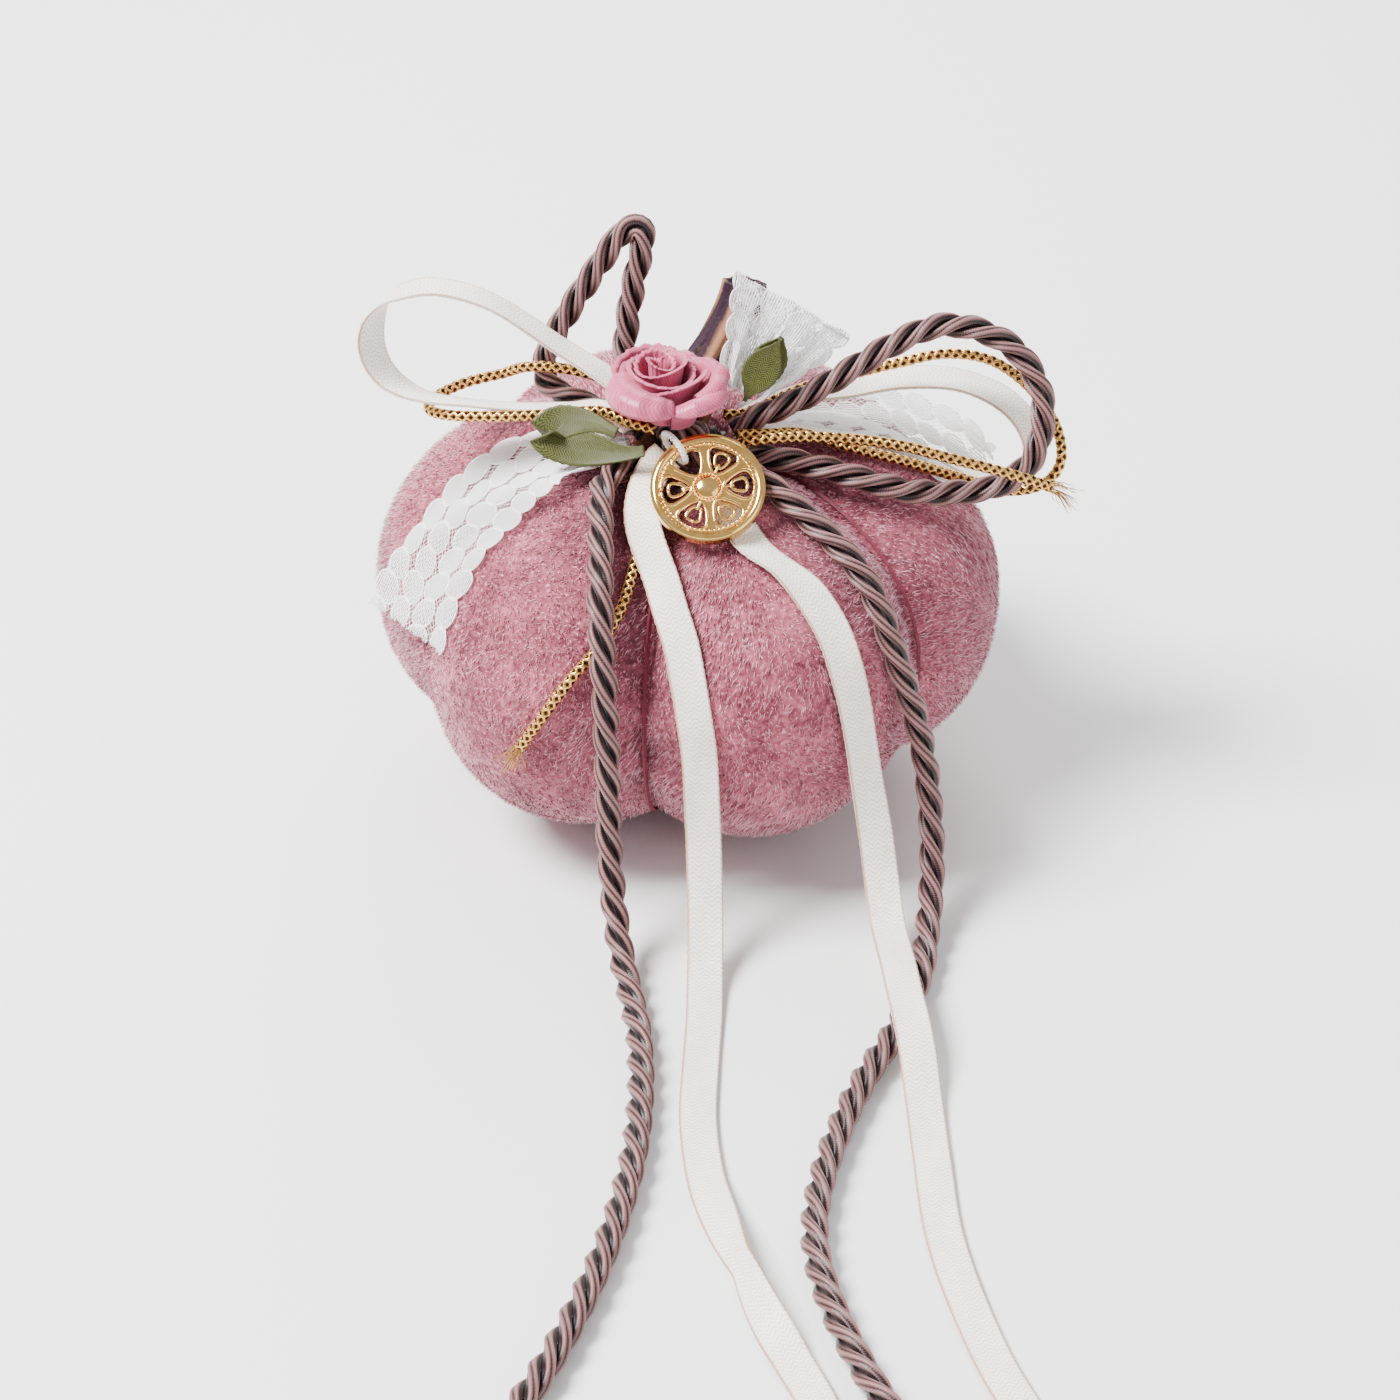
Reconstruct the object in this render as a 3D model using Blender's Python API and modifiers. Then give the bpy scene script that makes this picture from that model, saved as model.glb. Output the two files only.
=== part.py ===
"""Velvet pumpkin ring bearer pillow with a bow of cord, ribbon and lace, a ribbon rose and a hanging charm.

Metres, +Z up, the front faces -Y, and the origin is at the centre of the flat base.
"""

import math

import bmesh
import bpy
from mathutils import Matrix, Vector

MM = 0.001
GAP = 0.0003  # clearance between pieces that touch on the real object

# Pumpkin body
BODY_RADIUS = 0.055  # crest of a lobe at its widest
BODY_HALF_HEIGHT = 0.034
TOP_FULLNESS, BASE_FULLNESS = 2.3, 2.6  # superellipse powers of the upper and lower half
CREASE_ANGLES = (-158, -98, -35, 25, 84, 142)  # degrees in plan from +X, uneven as tied by hand
CREASE_DEPTH = 0.13  # share of the radius that the thread pulls in
LOBE_ROUNDNESS = 0.8
TOP_DIP, BASE_DIP = 0.009, 0.006
TOP_DIP_WIDTH, BASE_DIP_WIDTH = 0.016, 0.012
TOP_LEAN = 0.004  # the neck sits behind the base centre
RINGS, STEPS_PER_LOBE = 20, 8
COVER_THICKNESS = 0.0012
FILLING_CLEARANCE = 0.0016
THREAD_DIAMETER = 0.0008
THREAD_STANDOFF = 0.0006
NECK_THREAD_DIAMETER = 0.0008
THREAD_LOW, THREAD_HIGH = -66, 70  # degrees of elevation seen from the body's centre
NECK_THREAD_HEIGHT = 75  # degrees of elevation of the gathering thread
PATCH_RADIUS = 0.016
PATCH_THICKNESS = 0.0015

# Stem
STEM_FOOT_RADIUS, STEM_TIP_RADIUS = 0.0053, 0.0042
STEM_HEIGHT = 0.0285
STEM_CLEARANCE = 0.0012  # the leaning foot dips at its right side
STEM_LEAN_RIGHT, STEM_LEAN_BACK = 0.0105, 0.003

# Bow knot
KNOT_X, KNOT_Y = 0.001, -0.011
KNOT_HALF = Vector((0.007, 0.005, 0.0042))

# Trims
TWISTED_DIAMETER = 0.0046
GOLD_DIAMETER = 0.0019
RIBBON_WIDTH, RIBBON_THICKNESS = 0.006, 0.0004
LACE_THICKNESS = 0.0005
LACE_CLEARANCE = 0.0007  # middle of the lace above the velvet
LEAF_WIDTH = 0.0068
RIBBON_SPACING, LEAF_SPACING, LACE_SPACING = 0.0065, 0.003, 0.0055  # between rows of vertices
TAIL_KNOT_RADIUS, TAIL_KNOT_LENGTH = 0.0046, 0.009

# Rose, measured from the knot's centre
ROSE_OFFSET = Vector((-0.0039, -0.0015, 0.0074))
ROSE_RADIUS, ROSE_FOOT_RADIUS, ROSE_HEIGHT = 0.011, 0.0065, 0.0078
ROSE_FLOOR = 0.0008
ROSE_WALL = 0.0032
BUD_RADIUS = 0.0034
INNER_WRAP_THICKNESS = 0.0026

# Charm, measured from the knot's centre
CHARM_OFFSET = Vector((0.0028, -0.016, 0.0008))
CHARM_RADIUS, CHARM_THICKNESS, CHARM_RIM = 0.0096, 0.0016, 0.0017
CHARM_TILT = math.radians(38)  # how far it leans back from lying flat
CHARM_HOLES = 6
CHARM_HUB = 0.0026
CHARM_SPOKE = 0.0011
HANG_ANGLE = math.radians(125)  # where on the rim the white cord passes
HANG_CORD_DIAMETER = 0.0011
HANG_LOOP_LENGTH, HANG_LOOP_WIDTH = 0.0083, 0.0064
HANG_LOOP_SLOPE = math.radians(50)  # the loop runs back and down from the rim to the knot

TWISTED_LOOP_LEFT = [  # millimetres, from the knot's back round to its left side
    (-3.2, -5.4, 70.0), (-6.5, -1.5, 70.8), (-9.2, 2.5, 73.5), (-10.4, 5.5, 78.0), (-9.6, 7.6, 85.0),
    (-8.3, 8.8, 91.5), (-7.2, 9.6, 96.0), (-7.6, 10.2, 98.6), (-9.8, 10.6, 98.6), (-12.6, 10.4, 95.2),
    (-16.2, 10.0, 89.6), (-20.0, 9.4, 83.6), (-23.2, 8.2, 77.8), (-24.6, 5.8, 73.6), (-22.6, 2.6, 71.6),
    (-18.2, -0.6, 71.0), (-13.5, -3.6, 70.6), (-9.6, -6.6, 70.0), (-7.6, -8.2, 69.6),
]
TWISTED_LOOP_RIGHT = [  # from the knot's right side over the top and back along the velvet
    (8.2, -9.2, 69.8), (13.0, -7.6, 72.2), (19.8, -5.4, 74.2), (27.8, -3.0, 78.2), (36.4, -0.4, 82.6),
    (43.4, 1.4, 84.6), (50.4, 1.6, 83.6), (56.8, 0.2, 80.2), (60.8, -2.4, 74.2), (61.2, -5.0, 68.0),
    (59.0, -7.4, 62.6), (54.0, -9.2, 59.4), (48.4, -10.4, 58.8), (43.6, -11.6, 59.2), (38.2, -13.6, 60.8),
    (33.2, -14.6, 62.6), (26.4, -14.0, 64.6), (19.8, -12.8, 65.8), (14.0, -11.8, 66.4), (9.0, -11.4, 66.6),
]
TWISTED_TAIL_LEFT = [  # down the velvet, over the gold tail, then out along the table
    (-6.6, -13.6, 66.6), (-9.8, -16.8, 67.2), (-13.2, -21.0, 67.4), (-14.2, -27.0, 66.2), (-14.0, -33.6, 63.4),
    (-14.0, -39.0, 60.4), (-13.9, -43.8, 57.6), (-13.6, -48.2, 52.6), (-13.2, -51.2, 46.6), (-13.0, -52.6, 40.0),
    (-12.8, -53.6, 33.4), (-12.7, -55.2, 26.4), (-12.6, -57.4, 19.4), (-12.2, -60.8, 12.6), (-11.4, -65.8, 7.2),
    (-10.2, -72.4, 4.0), (-8.8, -80.0, 2.8), (-7.4, -90.0, 2.7), (-7.0, -105.0, 2.7), (-8.2, -121.0, 2.7),
    (-11.6, -139.0, 2.7), (-16.6, -156.0, 2.7), (-22.6, -171.0, 2.7), (-30.0, -185.0, 2.7), (-38.6, -198.0, 2.7),
    (-47.0, -209.0, 2.7),
]
TWISTED_TAIL_RIGHT = [  # from under the charm, down the right of the front lobe, then out along the table
    (6.4, -16.4, 67.4), (10.4, -19.6, 68.0), (14.6, -23.6, 67.2), (20.8, -28.4, 63.9), (27.5, -33.2, 59.0),
    (31.4, -36.6, 54.0), (34.0, -39.4, 48.0), (36.6, -41.2, 40.6), (38.8, -42.0, 33.4), (40.4, -43.2, 26.4),
    (41.4, -45.6, 19.6), (41.9, -49.6, 12.6), (41.6, -55.6, 6.8), (40.6, -63.0, 3.8), (39.4, -71.0, 2.7),
    (37.2, -79.0, 2.7), (33.6, -89.0, 2.7), (28.6, -100.0, 2.7), (24.0, -113.0, 2.7), (20.6, -127.0, 2.7),
    (19.8, -140.0, 2.7), (22.4, -154.0, 2.7), (27.6, -169.0, 2.7), (34.0, -182.0, 2.7), (41.0, -194.0, 2.7),
    (47.6, -204.0, 2.7),
]
GOLD_LOOP_LEFT = [  # a flat, narrow loop beside the left ribbon loop
    (-5.0, -15.2, 73.6), (-9.8, -14.4, 74.6), (-14.2, -12.5, 75.6), (-21.5, -11.6, 74.6), (-31.0, -10.6, 73.6),
    (-39.0, -8.6, 72.6), (-43.6, -4.6, 71.4), (-43.4, 0.6, 71.0), (-38.4, 4.6, 71.8), (-31.6, 6.0, 73.0),
    (-27.6, 3.8, 75.4), (-22.0, 1.6, 76.4), (-16.0, 0.2, 75.8), (-11.4, -1.8, 74.4), (-8.0, -3.6, 73.5),
]
GOLD_LOOP_RIGHT = [  # follows the right twisted loop on its inner side
    (6.6, -6.0, 71.4), (9.6, -5.4, 71.2), (14.0, -3.6, 72.2), (20.0, -1.0, 73.8), (27.6, 1.2, 75.0),
    (36.4, 3.6, 76.2), (45.0, 4.8, 77.4), (53.0, 5.2, 75.8), (59.6, 3.2, 71.6), (63.9, -1.4, 66.8),
    (64.8, -5.0, 61.8), (62.0, -5.6, 57.6), (56.0, -4.9, 55.8), (49.0, -6.2, 58.6), (39.0, -8.8, 63.4),
    (28.4, -9.6, 67.0), (19.8, -9.0, 69.4), (13.6, -11.4, 70.6), (8.8, -12.2, 70.9),
]
GOLD_TAIL_LEFT = [  # under the ribbon and the twisted cord, down the left front lobe
    (-1.6, -16.0, 66.2), (-3.6, -18.4, 65.9), (-5.2, -22.6, 64.5), (-6.7, -27.9, 61.9), (-8.2, -34.0, 59.0),
    (-9.9, -39.9, 55.3), (-12.0, -43.4, 52.3), (-14.6, -46.2, 49.2), (-18.9, -48.5, 45.0), (-24.0, -49.6, 37.8),
    (-28.6, -48.1, 29.7),
]
GOLD_TAIL_RIGHT = [  # springs out to the right, in front of the twisted loop
    (8.2, -14.6, 70.2), (12.8, -14.8, 71.4), (19.5, -13.4, 71.2), (28.1, -12.4, 70.2), (36.5, -14.0, 69.8),
    (45.0, -15.6, 68.2), (53.3, -16.4, 66.2), (58.5, -16.2, 64.3), (63.9, -14.0, 61.2),
]

# Ribbon stations: a point of the middle line in millimetres and the direction across the ribbon
RIBBON_LOOP_LEFT = [
    ((-7.2, -8.4, 73.7), (0.3, 1, 0)), ((-12.8, -3.8, 77.2), (0.3, 1, 0)), ((-21.5, -0.6, 81.8), (0.2, 1, 0)),
    ((-32.5, 0.0, 89.6), (0.1, 1, 0)), ((-42.0, 0.0, 92.6), (0.2, 1, 0)), ((-48.8, -0.4, 91.4), (0.5, 1, 0.2)),
    ((-52.6, -1.8, 87.4), (0.8, 1, 0.2)), ((-53.2, -3.4, 82.6), (0.9, 1, 0)), ((-50.6, -4.8, 78.0), (0.6, 1, 0)),
    ((-44.8, -5.6, 74.8), (0.2, 1, -0.2)), ((-37.0, -6.2, 73.8), (0, 1, -0.3)), ((-28.5, -6.8, 73.4), (0, 1, -0.3)),
    ((-20.0, -7.6, 73.6), (0, 1, -0.2)), ((-14.2, -8.6, 73.9), (0, 1, 0)), ((-8.8, -12.2, 72.3), (0.2, 1, 0)),
]
RIBBON_LOOP_RIGHT = [
    ((9.2, -4.0, 69.2), (0, 1, 0)), ((14.6, -0.6, 70.2), (0, 1, 0.1)), ((21.0, 2.6, 71.0), (0, 1, 0.1)),
    ((28.6, 5.0, 71.0), (0, 1, 0.2)), ((37.4, 7.2, 71.4), (0, 1, 0.2)), ((47.4, 8.4, 70.4), (0.1, 1, 0.2)),
    ((55.6, 7.6, 67.0), (0.5, 1, 0.2)), ((60.4, 4.8, 62.2), (0.9, 1, 0)), ((60.6, 1.4, 57.6), (0.9, 1, 0)),
    ((56.4, -0.8, 55.2), (0.4, 1, 0)), ((50.0, -1.6, 57.2), (0, 1, -0.3)), ((42.0, -2.8, 62.2), (0, 1, -0.3)),
    ((33.0, -4.0, 65.0), (0, 1, -0.2)), ((24.0, -4.6, 66.6), (0, 1, -0.1)), ((16.4, -4.8, 67.6), (0, 1, 0)),
    ((9.6, -4.8, 67.4), (0, 1, 0)),
]
RIBBON_TAIL_LEFT = [
    ((-3.0, -16.6, 69.4), (1, 0.2, 0)), ((-5.2, -18.8, 68.0), (1, 0.1, 0)), ((-6.8, -23.6, 66.4), (1, 0, 0.1)),
    ((-7.2, -28.4, 64.4), (1, 0, 0.1)), ((-6.2, -32.4, 61.7), (1, 0, 0)), ((-4.0, -37.4, 57.7), (1, 0, 0)),
    ((-2.4, -42.2, 54.4), (1, 0, 0)), ((-0.6, -46.6, 50.4), (1, 0, 0)), ((0.6, -50.4, 45.2), (1, 0, 0)),
    ((1.6, -52.8, 39.4), (1, 0, 0)), ((2.4, -54.0, 33.2), (1, 0, 0)), ((2.8, -55.8, 26.0), (1, 0, 0)),
    ((3.1, -58.0, 18.8), (1, 0, 0)), ((3.3, -61.4, 12.0), (1, 0, 0)), ((3.4, -66.6, 6.2), (1, 0, 0)),
    ((3.3, -73.4, 2.2), (1, 0, 0)), ((3.2, -82.0, 0.8), (1, 0, 0)), ((2.6, -94.0, 0.7), (1, 0, 0)),
    ((2.2, -108.0, 0.7), (1, 0, 0)), ((3.4, -122.0, 1.0), (1, 0, 0.1)), ((6.0, -134.0, 2.2), (0.8, 0, 0.6)),
    ((8.6, -143.0, 3.0), (0.4, 0, 1)), ((11.6, -152.0, 2.4), (0.8, 0, 0.7)), ((15.6, -161.0, 1.0), (1, 0.3, 0.1)),
    ((19.6, -171.0, 0.7), (1, 0.3, 0)), ((22.0, -182.0, 0.7), (1, 0.1, 0)), ((22.0, -194.0, 0.7), (1, 0, 0)),
    ((19.6, -205.0, 0.7), (1, -0.2, 0)),
]
RIBBON_TAIL_RIGHT = [
    ((1.2, -17.6, 65.8), (1, 0, 0)), ((3.8, -21.6, 65.8), (1, 0, 0)), ((7.6, -27.4, 64.2), (1, 0.1, 0)),
    ((11.4, -33.4, 61.8), (1, 0.1, -0.2)), ((16.4, -37.2, 59.6), (1, 0, -0.4)), ((20.6, -40.4, 56.6), (1, 0, -0.3)),
    ((24.4, -43.8, 51.6), (1, 0.2, -0.1)), ((26.6, -46.4, 46.0), (1, 0.3, 0)), ((28.2, -47.8, 39.4), (1, 0.5, 0)),
    ((29.4, -48.6, 32.4), (1, 0.6, 0)), ((30.6, -50.0, 25.0), (1, 0.5, 0)), ((31.9, -52.6, 17.8), (1, 0.3, 0)),
    ((33.0, -57.0, 10.8), (1, 0.1, 0)), ((33.9, -63.0, 6.0), (1, 0, 0)), ((34.6, -69.0, 5.6), (1, 0, 0)),
    ((35.2, -75.0, 6.0), (1, 0, 0)), ((35.8, -82.0, 6.2), (1, 0, 0)), ((36.6, -89.0, 6.0), (1, 0, 0)),
    ((37.4, -96.0, 4.2), (1, 0, 0)), ((38.0, -104.0, 1.4), (1, 0, 0)), ((38.6, -118.0, 0.7), (1, 0, 0)),
    ((39.4, -134.0, 0.7), (1, 0, 0)), ((42.2, -150.0, 0.7), (1, 0.1, 0)), ((46.6, -166.0, 0.7), (1, 0.2, 0)),
    ((53.0, -180.0, 0.7), (1, 0.4, 0)), ((61.4, -192.0, 0.7), (1, 0.6, 0)),
]

# Lace stations: a point of the middle line, the direction across and the width there, all in millimetres
LACE_TAIL_LEFT = [
    ((-9.6, -11.4, 68.0), (0.1, -1, 0.4), 11), ((-15.0, -11.0, 67.4), (0.1, -1, 0.2), 18),
    ((-21.6, -9.8, 66.2), (0.05, -1, 0), 24), ((-28.5, -11.0, 63.4), (0.1, -1, -0.05), 25),
    ((-35.2, -13.6, 59.4), (0.2, -1, -0.15), 25), ((-40.8, -16.4, 54.2), (0.3, -1, -0.2), 25),
    ((-45.2, -18.6, 47.6), (0.35, -1, -0.15), 25), ((-48.4, -20.2, 41.0), (0.4, -1, 0), 25),
]
LACE_LOOP_RIGHT = [
    ((10.0, -4.6, 74.8), (0.84, 0, -0.54), 8), ((11.6, -4.2, 78.6), (0.84, 0, -0.54), 13),
    ((14.6, -3.8, 83.6), (0.84, 0, -0.54), 19), ((17.2, -3.2, 88.0), (0.84, 0, -0.54), 23),
    ((18.6, -2.0, 90.4), (0.84, 0, -0.54), 24), ((17.8, -1.0, 88.4), (0.84, 0, -0.54), 22),
    ((15.6, -1.2, 83.6), (0.84, 0, -0.54), 18), ((13.0, -1.6, 78.6), (0.84, 0, -0.54), 12),
    ((11.4, -2.4, 74.8), (0.84, 0, -0.54), 8),
]
LACE_TAIL_RIGHT = [
    ((9.8, 3.4, 66.4), (0, 1, 0), 6), ((16.0, 5.0, 65.0), (0, 1, 0.1), 12), ((23.0, 6.0, 64.0), (0, 1, 0.15), 19),
    ((31.0, 6.8, 62.6), (0, 1, 0.2), 23), ((39.0, 7.0, 60.0), (0.1, 1, 0.25), 24),
    ((46.4, 6.6, 56.4), (0.2, 1, 0.3), 22), ((52.6, 5.6, 52.0), (0.3, 1, 0.3), 17),
]
LEAF_LEFT = [
    ((-6.8, -20.4, 73.0), (0, 0.45, 0.9)), ((-10.6, -19.8, 72.8), (0, 0.45, 0.9)),
    ((-15.6, -18.2, 72.9), (0, 0.45, 0.9)), ((-20.4, -15.8, 72.0), (0.1, 0.45, 0.9)),
    ((-22.0, -14.6, 72.2), (0.1, 0.45, 0.9)), ((-20.6, -13.9, 72.6), (0.1, 0.45, 0.9)),
    ((-15.8, -16.0, 73.4), (0, 0.45, 0.9)), ((-11.4, -17.9, 73.4), (0, 0.45, 0.9)),
]
LEAF_RIGHT = [
    ((10.0, -9.4, 76.4), (0.8, -0.2, -0.5)), ((12.0, -7.8, 79.6), (0.8, -0.2, -0.5)),
    ((14.0, -6.8, 82.8), (0.8, -0.2, -0.5)), ((15.0, -6.2, 84.0), (0.8, -0.2, -0.5)),
    ((14.4, -5.6, 82.8), (0.8, -0.2, -0.5)), ((12.6, -6.0, 79.4), (0.8, -0.2, -0.5)),
    ((11.2, -7.4, 76.4), (0.8, -0.2, -0.5)),
]


def clear_scene():
    """Start from an empty scene."""
    for obj in list(bpy.data.objects):
        bpy.data.objects.remove(obj, do_unlink=True)


def make_material(name, color, roughness, metallic=0.0):
    """A Principled material."""
    material = bpy.data.materials.new(name)
    material.use_nodes = True
    shader = material.node_tree.nodes["Principled BSDF"]
    shader.inputs["Base Color"].default_value = (*color, 1)
    shader.inputs["Roughness"].default_value = roughness
    shader.inputs["Metallic"].default_value = metallic
    return material


def add_object(name, data, material):
    """Put mesh or curve data in the collection as one named node."""
    obj = bpy.data.objects.new(name, data)
    data.materials.append(material)
    parts.objects.link(obj)
    return obj


def mesh_from(name, bm, smooth=True):
    """Turn a bmesh into mesh data."""
    mesh = bpy.data.meshes.new(name)
    bm.to_mesh(mesh)
    bm.free()
    if smooth:
        mesh.shade_smooth()
    return mesh


# ---- The body's form ----


def lobe_angle(turn):
    """Plan angle for a turn of 0 to 6, where each whole number is a crease."""
    lobe = int(turn) % len(CREASE_ANGLES)
    start = CREASE_ANGLES[lobe]
    end = CREASE_ANGLES[(lobe + 1) % len(CREASE_ANGLES)]
    return math.radians(start + (end - start) % 360 * (turn - int(turn)))


def lobe_bulge(angle):
    """0 in a crease and 1 on the crest of a lobe."""
    degrees = (math.degrees(angle) - CREASE_ANGLES[0]) % 360 + CREASE_ANGLES[0]
    edges = CREASE_ANGLES + (CREASE_ANGLES[0] + 360,)
    for start, end in zip(edges, edges[1:]):
        if start <= degrees <= end:
            return math.sin(math.pi * (degrees - start) / (end - start)) ** LOBE_ROUNDNESS
    return 0.0


def body_radius(angle, elevation):
    """Distance of the velvet from the body's centre in one direction."""
    power = TOP_FULLNESS if elevation > 0 else BASE_FULLNESS
    across = (abs(math.cos(elevation)) / BODY_RADIUS) ** power
    upward = (abs(math.sin(elevation)) / BODY_HALF_HEIGHT) ** power
    plain = (across + upward) ** (-1 / power)
    reach = plain * math.cos(elevation)
    depth, width = (TOP_DIP, TOP_DIP_WIDTH) if elevation > 0 else (BASE_DIP, BASE_DIP_WIDTH)
    crease = CREASE_DEPTH * (1 - lobe_bulge(angle)) * min(1, reach / BASE_DIP_WIDTH)
    dip = depth * math.exp(-((reach / width) ** 2))
    return plain * (1 - crease) - dip


def lean(point):
    """Shift the upper half back, most at the neck."""
    rise = max(0, point.z) / BODY_HALF_HEIGHT
    return Vector((point.x, point.y + TOP_LEAN * rise * rise, point.z))


def body_point(angle, elevation, inset=0.0):
    """A point of the body's form, drawn in by inset, with the underside flat on the table."""
    radius = body_radius(angle, elevation) - inset
    flat = radius * math.cos(elevation)
    point = lean(Vector((flat * math.cos(angle), flat * math.sin(angle), radius * math.sin(elevation))))
    point.z = max(point.z + BODY_HALF_HEIGHT, inset)
    return point


def height_above_body(point):
    """How far a point lies outside the body, measured towards its centre."""
    raised = point.z - BODY_HALF_HEIGHT
    rise = max(0, raised) / BODY_HALF_HEIGHT
    local = Vector((point.x, point.y - TOP_LEAN * rise * rise, raised))
    return local.length - body_radius(math.atan2(local.y, local.x), math.asin(local.z / local.length))


def top_height(x, y):
    """Height of the velvet above a place in plan."""
    low, high = BODY_HALF_HEIGHT, 2.2 * BODY_HALF_HEIGHT
    for _ in range(30):
        middle = (low + high) / 2
        if height_above_body(Vector((x, y, middle))) > 0:
            high = middle
        else:
            low = middle
    return high


def lift_off_body(point, clearance):
    """Push a point out from the body's centre until it has the clearance."""
    centre = Vector((0, 0, BODY_HALF_HEIGHT))
    for _ in range(4):
        short = clearance - height_above_body(point)
        if short <= 0:
            break
        point = point + (point - centre).normalized() * short
    return point


def body_surface(inset, rings, steps):
    """A uv sphere drawn out to the pumpkin's form, with vertices along every crease."""
    bm = bmesh.new()
    lobes = len(CREASE_ANGLES)
    bmesh.ops.create_uvsphere(bm, u_segments=lobes * steps, v_segments=rings, radius=1)
    for vert in bm.verts:
        turn = math.atan2(vert.co.y, vert.co.x) / math.tau * lobes % lobes
        if abs(turn - round(turn)) < 1e-4:
            turn = round(turn) % lobes
        elevation = math.asin(max(-1, min(1, vert.co.z)))
        vert.co = body_point(lobe_angle(turn), elevation, inset)
    return bm


def make_cover():
    """Velvet skin, open at the neck."""
    bm = body_surface(0, RINGS, STEPS_PER_LOBE)
    bm.verts.ensure_lookup_table()
    pole = min(bm.verts, key=lambda v: (v.co - body_point(0, math.pi / 2)).length)
    bmesh.ops.delete(bm, geom=[pole], context="VERTS")
    cover = add_object("velvet_cover", mesh_from("velvet_cover", bm), velvet)
    shell = cover.modifiers.new("thickness", "SOLIDIFY")
    shell.thickness = COVER_THICKNESS
    shell.offset = -1


def make_filling():
    """Fibre filling inside the cover."""
    inset = COVER_THICKNESS + FILLING_CLEARANCE
    bm = body_surface(inset, RINGS, STEPS_PER_LOBE - 2)
    add_object("fibre_filling", mesh_from("fibre_filling", bm), fibre)


def make_patch():
    """Felt disc under the gathered base; its underside is the face that the pillow stands on."""
    bm = bmesh.new()
    bmesh.ops.create_cone(
        bm, cap_ends=True, segments=40, radius1=PATCH_RADIUS, radius2=PATCH_RADIUS, depth=PATCH_THICKNESS
    )
    bmesh.ops.translate(bm, verts=bm.verts, vec=(0, 0, PATCH_THICKNESS / 2))
    add_object("base_patch", mesh_from("base_patch", bm, smooth=False), felt)


# ---- Cords and strips ----


def smooth_line(points, spacing):
    """Even points along the smooth curve through the route's own points."""
    route = [Vector(point) for point in points]
    route = [2 * route[0] - route[1]] + route + [2 * route[-1] - route[-2]]
    fine = []
    for a, b, c, d in zip(route, route[1:], route[2:], route[3:]):
        for step in range(12):
            t = step / 12
            fine.append(0.5 * (2 * b + (c - a) * t + (2 * a - 5 * b + 4 * c - d) * t**2 + (3 * b - a - 3 * c + d) * t**3))
    fine.append(route[-2])
    length = sum((q - p).length for p, q in zip(fine, fine[1:]))
    count = max(3, round(length / spacing))
    line, walked, target = [fine[0]], 0.0, length / count
    for p, q in zip(fine, fine[1:]):
        step = (q - p).length
        while walked + step >= target and len(line) < count:
            line.append(p.lerp(q, (target - walked) / step))
            target += length / count
        walked += step
    return line + [fine[-1]]


def tube(name, line, diameter, material, cyclic=False, resolution=2):
    """A round cord along a line."""
    curve = bpy.data.curves.new(name, "CURVE")
    curve.dimensions = "3D"
    curve.bevel_depth = diameter / 2
    curve.bevel_resolution = resolution
    curve.use_fill_caps = not cyclic
    spline = curve.splines.new("POLY")
    spline.points.add(len(line) - 1)
    for point, place in zip(spline.points, line):
        point.co = (*place, 1)
    spline.use_cyclic_u = cyclic
    return add_object(name, curve, material)


def free_cord(name, route, diameter, material):
    """A limp cord along a route in millimetres."""
    line = smooth_line([Vector(point) * MM for point in route], 2.6 * diameter)
    return tube(name, line, diameter, material)


def strip(name, stations, thickness, material, spacing, across_steps=1, clearance=None):
    """A flat strip along stations of (middle point, direction across, width), lifted off the body on request."""
    middles = smooth_line([station[0] for station in stations], spacing)
    count = len(middles)
    lengths = [0.0]
    for a, b in zip(stations, stations[1:]):
        lengths.append(lengths[-1] + (b[0] - a[0]).length)
    bm = bmesh.new()
    bmesh.ops.create_grid(bm, x_segments=count - 1, y_segments=across_steps, size=1)
    for vert in bm.verts:
        row = round((vert.co.x + 1) / 2 * (count - 1))
        share = vert.co.y / 2
        at = row / (count - 1) * lengths[-1]
        leg = max(i for i in range(len(lengths) - 1) if lengths[i] <= at + 1e-9)
        t = (at - lengths[leg]) / (lengths[leg + 1] - lengths[leg])
        across = stations[leg][1].lerp(stations[leg + 1][1], t)
        width = stations[leg][2] * (1 - t) + stations[leg + 1][2] * t
        ahead = middles[min(row + 1, count - 1)] - middles[max(row - 1, 0)]
        across = (across - across.project(ahead)).normalized()
        place = middles[row] + across * width * share
        vert.co = place if clearance is None else lift_off_body(place, clearance)
    obj = add_object(name, mesh_from(name, bm), material)
    cloth = obj.modifiers.new("thickness", "SOLIDIFY")
    cloth.thickness = thickness
    cloth.offset = 0
    return obj


def ribbon(name, stations, width, material, spacing):
    """A flat ribbon of one width."""
    full = [(Vector(point) * MM, Vector(across), width) for point, across in stations]
    return strip(name, full, RIBBON_THICKNESS, material, spacing)


def lace(name, stations, clearance=None):
    """A lace strip whose width changes where it is gathered."""
    full = [(Vector(point) * MM, Vector(across), width * MM) for point, across, width in stations]
    return strip(name, full, LACE_THICKNESS, lace_white, LACE_SPACING, across_steps=5, clearance=clearance)


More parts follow.
